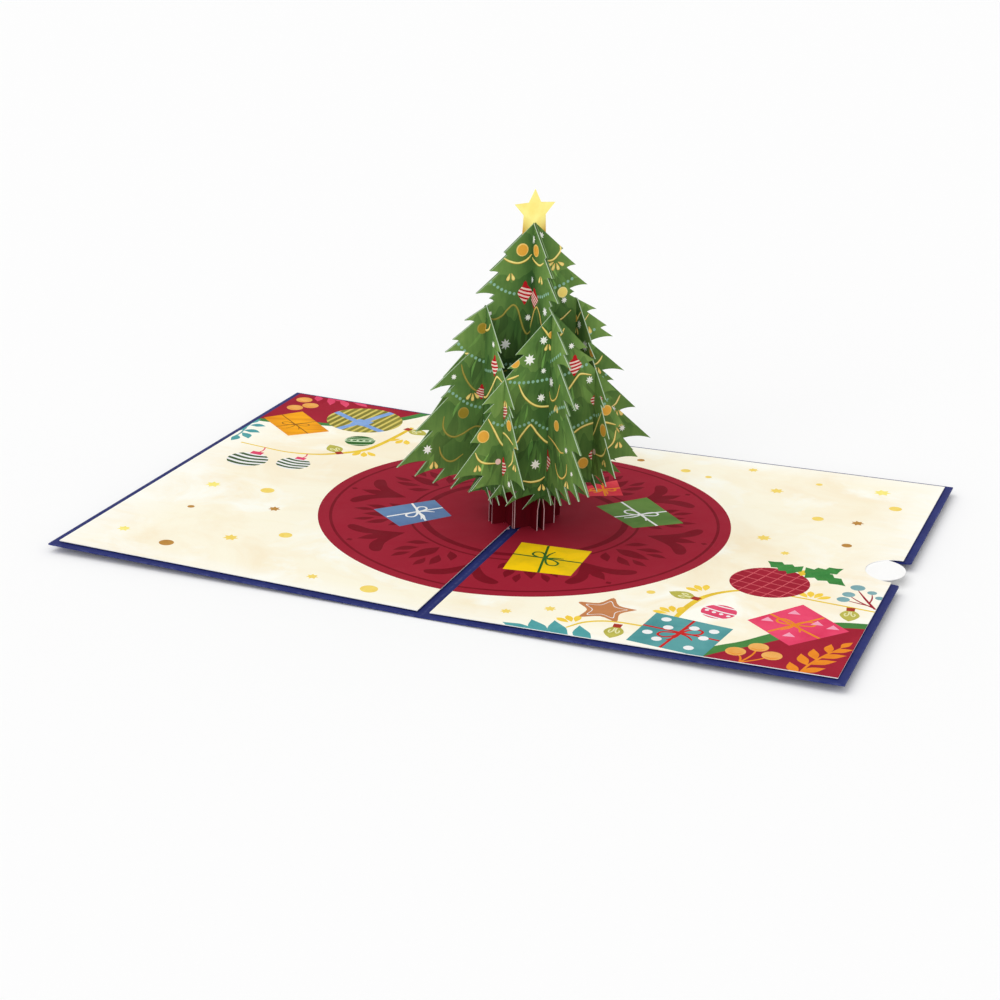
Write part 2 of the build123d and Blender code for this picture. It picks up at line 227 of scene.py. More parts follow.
def cream_liner():
    """Cream paper with a pale watercolour wash: warm clouds, white clearings and dry brush marks."""
    ink = Surface("cream_wash")
    cloud = ink.noise(42.0, 5.0, 0.62, 0.8)
    clearing = ink.noise(30.0, 5.0, 0.6, 0.5, ink.moved(Location=(0.3, 0.1, 0)))
    strokes = ink.noise(9.0, 5.0, 0.7, 0.3, ink.moved(Scale=(0.35, 1.6, 1)))
    warm = ink.mixed(ink.remap(cloud, 0.42, 0.68), (254, 248, 226), (250, 236, 206))
    pale = ink.mixed(ink.remap(clearing, 0.52, 0.66), warm, (255, 254, 242))
    dry = ink.mixed(ink.remap(strokes, 0.55, 0.8, 0.0, 0.35), pale, (248, 238, 200))
    parts = ink.split()
    sides = ink.remap(ink.maths("ABSOLUTE", parts["X"]), 0.104, 0.1255)
    ends = ink.remap(ink.maths("ABSOLUTE", parts["Y"]), 0.076, 0.088)
    border = ink.maths("MULTIPLY", ink.maths("MAXIMUM", sides, ends), ink.remap(strokes, 0.3, 0.6, 0.25, 0.9))
    return ink.finish(ink.mixed(border, dry, (255, 254, 246)))


def leg_red():
    """Dark red with an upright grain, a little darker towards the table: painted shade at the legs' foot."""
    ink = Surface("leg_maroon")
    grain = ink.noise(1.2, 3.0, 0.6, place=ink.moved(Scale=(1, 1, 0.15)))
    # The height term makes the red darker low down: painted shade where the legs meet the table
    factor = ink.maths("MULTIPLY_ADD", grain, 0.5, ink.remap(ink.split()["Z"], 0.002, 0.02, 0.0, 0.5))
    return ink.finish(ink.mixed(factor, (86, 6, 16), (98, 10, 22)), SATIN)


def trunk_red(name, normal):
    """Dark red paper with pale cut edges: an edge is where the surface turns off the sheet."""
    ink = Surface(name)
    facing = ink.add("NewGeometry").outputs["True Normal"]
    along = ink.add("VectorMath", {0: facing, 1: tuple(normal)}, operation="DOT_PRODUCT").outputs["Value"]
    cut = ink.remap(ink.maths("ABSOLUTE", along), 0.9, 0.8)
    grain = ink.noise(1.5, 3.0, 0.6, place=ink.moved(Scale=(1, 1, 0.2)))
    face = ink.mixed(ink.remap(grain, 0.3, 0.7), (98, 9, 22), shade((98, 9, 22), 0.8))
    return ink.finish(ink.mixed(cut, face, (206, 166, 170)), SATIN)


def star_card():
    """Pale yellow card, browner at the lower corners of the stem."""
    card = Surface("star_gold")
    parts = card.split()
    aside = card.maths("ABSOLUTE", card.maths("ADD", parts["X"], parts["Y"]))
    gold = card.mixed(card.remap(card.noise(4.0, 4.0, 0.6, 0.4), 0.35, 0.65), (255, 246, 152), (253, 236, 134))
    low = card.maths("MULTIPLY", card.remap(parts["Z"], 0.1035, 0.0985), card.remap(aside, 0.001, 0.0055))
    return card.finish(card.mixed(low, gold, (206, 160, 66)), 0.6)


def tape_film():
    """Double sided tape: milky film with faint adhesive ripples."""
    film = Surface("milky_tape")
    ripple = film.remap(film.noise(2.5, 3.0, 0.6), 0.35, 0.65)
    return film.finish(film.mixed(ripple, (228, 230, 226), (240, 240, 234)), 0.35, 0.00001)


# Inks of the prints: two tones, the size of their patches in millimetres and, where it isn't 1, their contrast
PRINTED = {
    "core": ((186, 204, 178), (168, 188, 160), 5),
    # The cut edges' pale core, darker as painted shade on the right and left quarters
    "core_dim": ((116, 142, 96), (104, 130, 86), 5),
    "leg_core": ((206, 168, 172), (186, 146, 150), 5),
    "white": ((246, 246, 246), (238, 237, 236), 12),
    "gold": ((214, 170, 70), (196, 150, 56), 5),
    "gold_light": ((252, 238, 152), (244, 220, 124), 5),
    "ball_rim": ((248, 210, 124), (240, 196, 104), 4),
    "ball": ((236, 178, 74), (226, 164, 62), 5),
    # Duller copies of the gold: painted shade on the lower part of the quarters' left wings
    "gold_dim": ((156, 140, 58), (142, 126, 48), 5),
    "gold_light_dim": ((184, 176, 92), (166, 158, 78), 5),
    "ball_rim_dim": ((180, 156, 74), (168, 144, 62), 4),
    "ball_dim": ((166, 142, 50), (154, 130, 42), 5),
    # Brighter copies of the gold: painted light on the lower right wings of the right and back quarters
    "gold_bright": ((242, 206, 104), (230, 190, 88), 5),
    "gold_light_bright": ((255, 248, 190), (252, 238, 166), 5),
    "ball_rim_bright": ((255, 240, 164), (255, 232, 148), 4),
    "ball_bright": ((255, 234, 132), (255, 224, 116), 5),
    "star": ((255, 255, 252), (248, 250, 242), 4),
    "bead": ((152, 194, 172), (132, 178, 154), 4),
    "drop": ((204, 34, 42), (180, 24, 34), 4),
    "stripe": ((252, 228, 218), (244, 204, 194), 4),
    "berry": ((236, 206, 196), (222, 188, 178), 3),
    "skirt": ((158, 32, 52), (151, 29, 48), 30, 0.8),
    "skirt_centre": ((154, 32, 50), (146, 28, 45), 22),
    "skirt_dark": ((123, 14, 32), (116, 11, 28), 12),
    "dark_green": ((40, 92, 34), (54, 108, 42), 4),
    "orange": ((240, 146, 40), (228, 128, 34), 4),
    "apricot": ((243, 184, 102), (230, 160, 76), 5),
    "red_line": ((206, 44, 40), (190, 34, 34), 4),
    "brown_red": ((176, 62, 46), (158, 48, 38), 4),
    "yellow": ((248, 214, 84), (240, 198, 60), 5),
    "olive": ((196, 190, 88), (176, 168, 74), 6),
    "glass": ((236, 234, 182), (222, 220, 160), 3),
    "gold_thread": ((240, 208, 66), (226, 188, 52), 8),
    "biscuit": ((202, 136, 88), (190, 122, 76), 8),
    "lattice": ((214, 96, 104), (200, 80, 90), 4),
    "brown": ((150, 96, 24), (136, 84, 20), 4),
    "teal": ((92, 170, 172), (74, 150, 154), 6),
    "teal_pale": ((136, 178, 182), (118, 162, 168), 4),
    "pink": ((232, 84, 118), (214, 62, 98), 5),
    "stripe_cream": ((220, 204, 110), (204, 186, 90), 4),
    "pink_pale": ((246, 176, 196), (240, 150, 176), 4),
    "field": ((166, 34, 54), (152, 26, 46), 14),
    "rim_green": ((78, 138, 70), (62, 120, 58), 10),
    "holly": ((72, 148, 74), (52, 122, 56), 8, 1.3),
    "berry_green": ((206, 226, 190), (186, 210, 170), 4),
    "stripe_green": ((74, 98, 62), (62, 86, 52), 4),
    "sky": ((146, 178, 226), (118, 156, 214), 5),
    "dot_gold": ((248, 222, 118), (242, 208, 98), 3),
    "dot_yellow": ((254, 242, 140), (248, 230, 120), 3),
    "dot_brown": ((196, 146, 72), (178, 126, 58), 3),
}
# Gift papers: two tones, the angle of their brush marks in degrees and, where they are streaks, their stretch
WRAPPED = {
    "blue_gift": ((104, 138, 180), (90, 118, 164), 30),
    "green_gift": ((104, 140, 66), (82, 119, 53), 60),
    "yellow_gift": ((252, 206, 12), (220, 184, 22), 100),
    "pink_gift": ((236, 74, 112), (220, 54, 92), 20),
    "coral_gift": ((214, 48, 66), (232, 76, 84), 70),
    "teal_gift": ((92, 160, 161), (70, 140, 143), 10),
    "orange_gift": ((250, 172, 22), (214, 128, 12), -24, 0.12),
    "olive_gift": ((140, 134, 56), (118, 112, 42), 40),
}

INKS = {"cream": cream_liner(), "leg": leg_red()}
INKS.update({ink: printed("ink_" + ink, *look) for ink, look in PRINTED.items()})
INKS.update({ink: wrapping("ink_" + ink, *look) for ink, look in WRAPPED.items()})
for kind, outline in (("large", LARGE), ("small", SMALL)):
    for tone, lift in (("", 1.0), ("_light", 1.1), ("_pale", 1.34), ("_dark", 0.88)):
        INKS[kind + tone] = foliage("needles_" + kind + tone, outline, lift)


# ---------------------------------------------------------------- drawing, in millimetres
def ellipse(x, y, rx, ry=None, sides=20, turn=0.0):
    ry = rx if ry is None else ry
    points = []
    for i in range(sides):
        a = 2 * math.pi * i / sides
        px, py = rx * math.cos(a), ry * math.sin(a)
        points.append((x + px * math.cos(turn) - py * math.sin(turn),
                       y + px * math.sin(turn) + py * math.cos(turn)))
    return points


def burst(x, y, radius, points=8, inner=0.52, turn=0.1):
    """A many pointed star."""
    ring = []
    for i in range(2 * points):
        a = math.pi * i / points + turn
        r = radius if i % 2 == 0 else radius * inner
        ring.append((x + r * math.cos(a), y + r * math.sin(a)))
    return ring


def smooth(points, steps=6):
    """Catmull-Rom line through points of any dimension."""
    pts = [np.array(p, float) for p in points]
    pts = [2 * pts[0] - pts[1]] + pts + [2 * pts[-1] - pts[-2]]
    line = []
    for a, b, c, d in zip(pts, pts[1:], pts[2:], pts[3:]):
        for i in range(steps):
            t = i / steps
            line.append(0.5 * (2 * b + (c - a) * t + (2 * a - 5 * b + 4 * c - d) * t ** 2
                               + (3 * b - a - 3 * c + d) * t ** 3))
    line.append(pts[-2])
    return line


def brush(points, widths, steps=6):
    """Outline of a stroke along a smooth line, with its width at each of the points."""
    if not hasattr(widths, "__len__"):
        widths = [widths] * len(points)
    line = smooth([(*p, w) for p, w in zip(points, widths)], steps)
    left, right = [], []
    for i, here in enumerate(line):
        run = line[min(i + 1, len(line) - 1)][:2] - line[max(i - 1, 0)][:2]
        size = math.hypot(*run) or 1.0
        aside = np.array((-run[1], run[0])) / size * max(here[2], 0) / 2
        left.append(tuple(here[:2] + aside))
        if math.hypot(*aside) > 0.01:
            right.append(tuple(here[:2] - aside))
    return left + right[::-1]


def leaf(base, tip, width, bend=0.0):
    """Pointed leaf from base to tip, its middle bent aside by a share of its length."""
    (x0, y0), (x1, y1) = base, tip
    middle = ((x0 + x1) / 2 - (y1 - y0) * bend, (y0 + y1) / 2 + (x1 - x0) * bend)
    return brush([base, middle, tip], [0, width, 0], 5)


def polar(radius, degrees):
    return radius * math.cos(math.radians(degrees)), radius * math.sin(math.radians(degrees))


def resample(points, spacing):
    """Points at equal spacing along a smooth line."""
    line = smooth(points, 12)
    out, left_over = [tuple(line[0])], 0.0
    for a, b in zip(line, line[1:]):
        length = math.dist(a, b)
        at = spacing - left_over
        while at <= length:
            out.append(tuple(a + (b - a) * (at / length)))
            at += spacing
        left_over = length - (at - spacing)
    return out


class Art:
    """A list of inked shapes, in the order in which they are laid down."""

    def __init__(self):
        self.shapes = []
        self.tone = ""  # empty, or a suffix for duller gold as painted shade or brighter gold as painted light, on balls and swags

    def add(self, ink, *rings, clip=None):
        self.shapes.append((ink, rings, clip))

    def dots(self, ink, places, sides=20):
        for x, y, r in places:
            self.add(ink, ellipse(x, y, r, sides=sides))

    def leaves(self, ink, leaves, bend):
        for base, tip, width in leaves:
            self.add(ink, leaf(base, tip, width, bend))

    def strip(self, ink, a, b, width, steps=3, sag=0.0, clip=None):
        """Stroke from a to b whose middle hangs down by the sag."""
        middle = ((a[0] + b[0]) / 2, (a[1] + b[1]) / 2 - sag)
        self.add(ink, brush([a, middle, b], width, steps), clip=clip)

    def ball(self, x, y, r):
        self.add("ball_rim" + self.tone, ellipse(x, y, r))
        self.add("ball" + self.tone, ellipse(x + r * 0.04, y - r * 0.05, r * 0.84))

    def star(self, x, y, r):
        self.add("star", burst(x, y, r))

    def beads(self, points, spacing=1.6, radius=0.53):
        for x, y in resample(points, spacing):
            self.add("bead", ellipse(x, y, radius, sides=8))

    def swag(self, points, glow=0.7, width=0.68):
        """Gold line with a light core; glow is the core's share of its width."""
        widths = [width * 0.5] + [width] * (len(points) - 2) + [width * 0.5]
        self.add("gold" + self.tone, brush(points, widths))
        lifted = [(x, y + width * 0.1) for x, y in points]
        self.add("gold_light" + self.tone, brush(lifted, [w * glow for w in widths]))

    def sprig(self, x, y, size=1.0, blades=2):
        """Separate teardrop leaves that hang fanned from one point, slim at the top."""
        for i in range(blades):
            px, py = polar(size, -90 + (i - (blades - 1) / 2) * 40)
            line = [(x + t * px, y + 1.8 * size + t * py) for t in (0.9, 1.8, 2.7, 3.4, 3.7)]
            self.add("ball_rim", brush(line, [w * size for w in (0.1, 0.7, 1.2, 1.1, 0.4)], 3))
            self.add("gold_light", brush(line[1:4], [0.1, 0.8 * size, 0.3], 3))

    def bauble(self, x, low, high, width, tilt=-18):
        """Bauble like a rounded diamond, with a short cap, a pointed tail and slanting stripes."""
        tall = high - low
        profile = [(0.02, 0.0), (0.1, 0.08), (0.17, 0.16), (0.34, 0.3), (0.48, 0.44), (0.5, 0.53), (0.42, 0.64),
                   (0.22, 0.78), (0.14, 0.84), (0.13, 0.92), (0.02, 1.0)]
        right = [(x + w * width, low + h * tall) for w, h in smooth(profile, 3)]
        outline = right + [(2 * x - px, py) for px, py in right[::-1]]
        self.add("drop", outline)
        rise = math.tan(math.radians(tilt)) * 0.6 * width
        for share in (0.22, 0.38, 0.54, 0.7):
            y = low + share * tall
            arc = [(x - 0.6 * width, y - rise), (x, y - 0.04 * tall), (x + 0.6 * width, y + rise)]
            self.add("stripe", brush(arc, 0.075 * tall), clip=[outline])

    def bow(self, x, y, ink, width, loops, tails):
        """Line drawn bow: each loop has an angle and a length, each tail an end seen from the knot."""
        for angle, length in loops:
            ring = []
            for share, aside in ((0, 0), (0.4, 0.26), (0.8, 0.3), (1.0, 0.04), (0.8, -0.22), (0.4, -0.18),
                                 (0, 0)):
                px, py = polar(length, angle)
                ring.append((x + share * px - aside * py, y + share * py + aside * px))
            self.add(ink, brush(ring, width))
        for dx, dy in tails:
            middle = (x + dx * 0.5 - dy * 0.1, y + dy * 0.5 + dx * 0.1)
            self.add(ink, brush([(x, y), middle, (x + dx, y + dy)], [width, width, width * 0.6]))
        self.add(ink, ellipse(x, y, width * 0.8, sides=10))

    def fan(self, x, y, turn, count, length, width, step):
        """Yellow leaves spread round one point, each starting a little way from it."""
        for i in range(count):
            px, py = polar(length, turn + step * (i - (count - 1) / 2))
            line = [(x + t * px, y + t * py) for t in (0.3, 0.6, 0.85, 1.0)]
            self.add("yellow", brush(line, [0.1, width, width * 0.9, 0.1]))

    def lamp(self, x, y, turn, size=1.22):
        """Pointed glass lamp of a string of lights, its tip towards the given angle from its cap."""
        px, py = polar(size, turn)
        line = [(x + t * px, y + t * py) for t in (0.8, 2.2, 4.0, 6.0, 7.6)]
        self.add("olive", brush(line, [w * size for w in (2.0, 4.0, 4.8, 3.0, 0.1)]))
        ridge = ((1.4, 0.25), (3.2, 0.3), (4.4, 0.9), (3.4, 1.3), (2.6, 1.0))
        for way in (-1, 1):
            loop = [(x + t * px - way * w * py, y + t * py + way * w * px) for t, w in ridge]
            self.add("glass", brush(loop, 0.5, 3))
        self.add("brown_red",
                 brush([(x - 1.2 * px, y - 1.2 * py), (x + px, y + py)], [2.2 * size, 2.0 * size], 2))

    def gift(self, corners, ribbons, ink, ribbon_ink, width, bow, loops, tails):
        self.add(ink, corners)
        for a, b in ribbons:
            self.strip(ribbon_ink, a, b, width, 2, clip=[corners])
        self.bow(*bow, ribbon_ink, width * 0.9, loops, tails)


# Brush marks of the needles: tone, number on a sheet 100 mm high, widths and lengths in millimetres
BRUSHES = (("_dark", 32, (2.0, 4.4), (8, 15)), ("_light", 26, (1.8, 3.6), (6, 11)),
           ("_dark", 30, (0.7, 1.3), (5, 9)), ("_light", 44, (0.6, 1.1), (5, 9)), ("_pale", 20, (0.6, 0.9),
                                                                                   (4.5, 8)))


def boughs(art, outline, seed, kind):
    """Brush marks of the painted needles: broad dark and light ones, slim light and pale ones, fanned down."""
    draw = random.Random(seed)
    full_height, half_width = outline
    count = full_height / 100
    for tone, number, widths, lengths in BRUSHES:
        for _ in range(int(number * count)):
            v = HEM + 2 + (full_height - HEM - 4) * (1 - math.sqrt(draw.random()))
            reach = half_width * (1 - v / full_height) + 2
            u = draw.uniform(-reach, reach)
            lean = u / reach * draw.uniform(0.2, 0.75) + draw.uniform(-0.1, 0.1)
            length = draw.uniform(*lengths)
            end = (u + length * math.sin(lean), v - length * math.cos(lean))
            art.add(kind + tone, leaf((u, v), end, draw.uniform(*widths), draw.uniform(-0.1, 0.1)))


def leg_print(art):
    """The legs' dark red, below the last needles."""
    edge = [(-14, -3), (14, -3), (14, 10.5)]
    for i in range(9):
        x = LEG_HALF_WIDTH - i * 3.1
        edge += [(x, 9.4 + (i % 3) * 0.5), (x - 1.2, 11.6)]
    art.add("leg", edge + [(-14, 10.5)])


def small_print(way):
    """Decorations of the crossing sheets; way is -1 on the inner faces, which are drawn mirrored."""
    art = Art()
    boughs(art, SMALL, 5 + way, "small")

    def at(points):
        return [(way * x, y) for x, y in points]

    for line in (
        [(-14.2, 54), (-10.8, 53.4), (-7.5, 53.3), (-4.1, 53.4), (-1.3, 53.7), (4.2, 54.4), (9.9, 56.4),
         (13.7, 57.6)],
        [(-19.5, 41.1), (-18, 40.3), (-16.5, 40), (-14, 39), (-11.4, 38.8), (-7.6, 39.6), (-6.2, 40.5),
         (-4.6, 39.5),
         (-1.8, 37.5), (3, 36.3), (8.4, 36.5), (11.6, 37.6), (14.8, 39.1), (18.9, 42.6), (20.6, 44.6)],
    ):
        art.beads(at(line))
    for line in (
        [(-3.8, 71.1), (-2.3, 69.3), (-0.9, 67.5), (0.6, 67), (2.1, 67.4), (3.2, 68.2), (4.0, 69.9)],
        [(-15.3, 54.9), (-13.4, 55.3), (-11.3, 55.9)],
        [(-11.2, 52.9), (-9.4, 49.1), (-6.8, 46.4), (-3.8, 44.9), (0.1, 44.7), (2.6, 45.4), (6.2, 49.3),
         (9.3, 53.4),
         (10.8, 54.3), (14.3, 53.6)],
        [(-21.4, 42.5), (-19.2, 38.5), (-16.5, 33.7), (-14, 32.5), (-11.2, 33.7), (-9.8, 35.8), (-7, 38.9),
         (-5.9, 38.4), (-3.8, 35.6), (-0.7, 32.6), (3, 31.5), (6, 32.5), (8.3, 34.2), (11.7, 36.3), (16.5, 37.4),
         (20.2, 37), (24, 35.8)],
        [(-25.6, 31.7), (-24.4, 29.3), (-22.2, 27.9), (-18.4, 27.4)],
        [(-8.6, 20.3), (-5.8, 19.6), (-2.8, 19.8), (-0.9, 20.8)],
        [(24.2, 33.8), (23.5, 30), (20.9, 27.5)],
    ):
        art.swag(at(line))
    for x, y, r in ((-0.3, 68.2, 1.2), (-12.7, 60, 1.6), (-23, 36.9, 2.1), (12.7, 24, 1.9), (20.4, 41.1, 1.8)):
        art.ball(way * x, y, r)
    for x, y, r in ((-3, 66.6, 1.5), (6.8, 63.9, 1.1), (-7.7, 60.7, 2.0), (-2.7, 56.6, 1.0), (-3.2, 47.7, 1.5),
                    (13.8, 52, 1.4),
                    (9.2, 43.3, 1.4), (-4.4, 25.4, 1.8), (21.8, 21.9, 1.2)):
        art.star(way * x, y, r)
    for x, low, high, width in ((8.2, 53.7, 60.9, 5.0), (16.6, 42, 48, 4.3), (17, 23.1, 29.6, 4.7)):
        art.bauble(way * x, low, high, width, 12 * way)
    for x, y in ((-1.4, 64.5), (-24.7, 26.7), (-1.9, 17.6), (17.3, 47.6), (25.9, 35), (25.4, 29)):
        art.sprig(way * x, y, 0.8)
    art.add("berry", ellipse(way * -17.6, 27.9, 1.0, sides=12))
    return art


def quarter_gold(art, swags, balls, lower_painted_light):
    """Swags and balls of a quarter's wing; below the top of the tree their gold takes the lower tone, duller as
    painted shade or brighter as painted light, and swags get a narrower light core as painted shade.
    """
    for line in swags:
        top = line[0][1] > 80
        art.tone = "" if top else lower_painted_light
        art.swag(line, 0.7 if top else 0.36, 0.68 if top else 0.6)
    for x, y, r in balls:
        art.tone = "" if y > 80 else lower_painted_light
        art.ball(x, y, r)
    art.tone = ""


def large_left():
    art = Art()
    for line in ([(-14.8, 82.6), (-12, 80.5), (-8.8, 78.8), (-5.6, 77.8)],
                 [(-25.3, 63.1), (-22.7, 60.2), (-19.9, 58.4), (-16.9, 56.7), (-12, 55.4), (-6, 54.6),
                  (-1, 54.4)],
                 [(-31, 49.4), (-27.6, 47.4), (-24.9, 45.3), (-22.1, 43.2), (-19.1, 41.8), (-17.3, 41.3),
                  (-12, 40.6),
                  (-5, 40.2), (-1, 40.4)]):
        art.beads(line)
    swags = ([(-11, 90.3), (-8.5, 88.8), (-5.4, 88), (-2.6, 88.8), (-0.8, 90.5)],
                 [(-14.8, 70.7), (-12.9, 70.2), (-10.4, 71.2), (-8.6, 73.1), (-6.6, 74.4), (-5.0, 72.8),
                  (-3.8, 69),
                  (-2.6, 65.8), (-1.4, 64.4), (0, 65.6)],
                 [(-24.2, 56.3), (-23.4, 53.2), (-21.6, 49.8), (-19.4, 47.4), (-16.8, 46.7), (-13, 48), (-10, 52),
                  (-8, 53)],
                 [(-29.8, 39.5), (-30.1, 36.1), (-28.8, 33.5), (-26.3, 32.2), (-23.3, 32.9), (-20.4, 34.4),
                  (-17.8, 34.9),
                  (-12, 33), (-7, 29), (-2, 28)],
                 [(-31.3, 29.4), (-30.6, 26.7), (-28.6, 24.4), (-26.1, 24.1), (-22.9, 26)],
                 [(-16, 24), (-12, 21), (-7, 20), (-3, 22)])
    # Below the top of the tree this wing's gold is duller: painted shade
    quarter_gold(art, swags, ((-4.1, 92.2, 2.1), (-17.2, 67.6, 1.8), (-23.1, 40, 1.9), (-9, 36, 1.8)), "_dim")
    for x, y, r in ((-1.3, 69.8, 1.2), (-9, 61.6, 1.9), (-14.7, 72.3, 0.8), (-26.7, 52.4, 1.0),
                    (-35.4, 28.9, 1.7), (-5, 46, 1.6),
                    (-11, 28, 1.4)):
        art.star(x, y, r)
    for x, y, blades in ((-7.9, 84, 2), (-20, 45.4, 3), (-33.1, 23.7, 2)):
        art.sprig(x, y, 0.9, blades)
    art.bauble(-16.9, 43.9, 49, 3.6)
    art.bauble(-2.7, 74.2, 82, 5.0)
    return art


def large_right(second):
    """The right half of a quarter's print; the second version is on the right and back quarters."""
    art = Art()
    if second:
        beads = ([(8, 78.9), (9.8, 79.5), (11.3, 80.1), (12.9, 80.9), (14.6, 81.8)],
                 [(1, 54.4), (8, 55.6), (15, 58.6), (20.5, 61.9), (22.1, 63.3), (24, 64.3)],
                 [(1, 40.2), (8, 40), (15, 41), (22, 44), (28, 48)])
        swags = ([(4.2, 88), (6.6, 88.1), (8.4, 89.6), (9.4, 91.3), (8.9, 93.6)], [(18.4, 66), (20.5, 69.1)],
                 [(3, 71), (6, 68.5), (10, 68), (14, 71)],
                 [(23, 51.7), (24.5, 52.2), (25.7, 53.6), (26.1, 54.5)], [(25.4, 44.9), (26.7, 44.2),
                                                                          (27.9, 44.4)],
                 [(4, 52), (8, 47.6), (13, 46.4), (18, 49), (21, 53)], [(3, 30), (9, 26.4), (16, 26), (21, 30)],
                 [(30.3, 36.4), (31.9, 37.3), (32.9, 39), (33.5, 40.3)], [(27.8, 31.8), (30.3, 30.9),
                                                                          (34.1, 29.4)],
                 [(32.9, 27), (32.6, 24), (31.1, 22), (29.5, 21.6)])
        balls = ((10.7, 77.2, 1.8), (28.9, 35.4, 1.7), (12, 61, 1.8), (19, 34, 1.8))
        stars = ((2.1, 96.4, 1.3), (11.4, 74.5, 1.1), (30.9, 35.5, 1.3), (34.9, 28.6, 1.2), (6, 62, 1.5),
                 (14, 52, 1.4), (10, 34, 1.6))
        sprigs = ((7.8, 86.2, 4), (20.4, 64.1, 2), (24.5, 49.8, 2), (32.6, 34.1, 3), (32.4, 28.4, 2),
                  (34.1, 22.6, 3))
        baubles = ((19.5, 40.4, 46.4, 4.2), (5.5, 18, 24.4, 4.4))
    else:
        beads = ([(5.3, 77.8), (8.6, 78.6), (10.5, 79.7), (13, 80.7)],
                 [(1, 54.4), (8, 56), (15, 58.9), (19.2, 61.3), (23.4, 64)],
                 [(1, 40.4), (8, 38.6), (14.3, 39.7), (16.4, 41.6), (19, 43.6), (24, 46.4), (28, 48)])
        swags = ([(-0.7, 90.2), (1.8, 88.7), (5.8, 88.1), (8.7, 89.5)],
                 [(0, 65.6), (1.2, 69), (2.8, 72.6), (4.6, 74.2), (6.6, 72.6), (8.4, 69.4), (10.4, 66)],
                 [(15.8, 49.7), (17.8, 47.1), (21.2, 48.9), (23.4, 53.9)],
                 [(16.1, 34.8), (20.7, 33.8), (25.3, 32.2), (27.9, 32.6)],
                 [(22.2, 27.3), (24.2, 24.3), (27.4, 23.9), (30.2, 26.3), (30.4, 29.6)], [(2, 27.6), (8, 25),
                                                                                          (13, 24.6)])
        balls = ((3, 92.2, 2.0), (22.1, 39.9, 1.8), (13.6, 66, 1.7), (7, 33, 1.8))
        stars = ((0.6, 95.4, 1.6), (0.6, 82.3, 1.2), (10.6, 74.2, 1.6), (17.1, 52.9, 1.7), (29.6, 34, 1.1),
                 (34.1, 27.6, 0.9),
                 (7, 48, 1.6), (10, 29.5, 1.2))
        sprigs = ((7, 84, 2), (21.3, 45.7, 2), (30.9, 23.3, 2), (26.4, 58, 2))
        baubles = ((16.4, 22.6, 30.2, 4.6),)
    for line in beads:
        art.beads(line)
    # Below the top of the tree the gold of the right and back quarters is brighter: painted light
    quarter_gold(art, swags, balls, "_bright" if second else "")
    for item in stars:
        art.star(*item)
    for x, y, blades in sprigs:
        art.sprig(x, y, 0.9, blades)
    for item in baubles:
        art.bauble(*item)
    art.bauble(2.5, 73.2, 80, 5.6, -30)
    return art


def large_print(wing, second, seed):
    """One wing of a folded quarter: wing is -1 left of the fold, 1 right of it, 0 on the hidden face."""
    art = Art()
    boughs(art, LARGE, seed, "large")
    if wing:
        art.shapes += (large_left() if wing < 0 else large_right(second)).shapes
    leg_print(art)
    return art


def skirt(art):
    """Round field under the tree: rings, eight horned motifs and eight leaf sprays between them."""
    def ring(ink, outer, inner, sides=120):
        art.add(ink, ellipse(0, 0, outer, sides=sides), ellipse(0, 0, inner, sides=sides))

    art.add("skirt", ellipse(0, 0, 68.4, sides=144))
    ring("skirt_dark", 64.7, 63.7, 144)
    ring("skirt_dark", 38.6, 37.7)
    art.add("skirt_centre", ellipse(0, 0, 33.4, sides=96))
    ring("skirt_dark", 34.8, 32.4)
    horn = smooth([(42.6, 0), (45.8, 1.9), (49.2, 4.0), (52.4, 6.7), (54.6, 10.4), (56.3, 12.3), (58.2, 11.6),
                   (58.5, 9.0), (57.2, 5.9), (55.2, 3.7), (53.2, 2.4), (52.2, 0)], 4)
    sprays = ((39.6, 4.5, 45.2, 10.3, 3.2), (44.5, 4.3, 52.8, 8.2, 3.3), (49.5, 3.3, 56.9, 4.9, 2.6))
    for k in range(8):
        a = math.radians(45 * k)

        def at(along, aside, a=a):
            return (along * math.cos(a) - aside * math.sin(a), along * math.sin(a) + aside * math.cos(a))

        for way in (-1, 1):
            art.add("skirt_dark", [at(p[0], way * p[1]) for p in horn])
        art.add("skirt_dark", brush([at(51, 0), at(54.6, 0), at(59.2, 0)], [2.6, 4.0, 0.1]))
        art.add("skirt_dark", [at(60.6, 0), at(61.8, 1.1), at(63, 0), at(61.8, -1.1)])
        b = a + math.radians(22.5)
        for way in (-1, 1):
            for near, near_aside, far, far_aside, width in sprays:
                art.add("skirt_dark",
                        leaf(at(near, way * near_aside, b), at(far, way * far_aside, b), width, 0.06 * way))
        art.add("skirt_dark",
                brush([at(39.8, 0, b), at(44.4, 0, b), at(49, 0, b), at(53.8, 0, b)], [0.1, 4.6, 3.8, 0.1]))


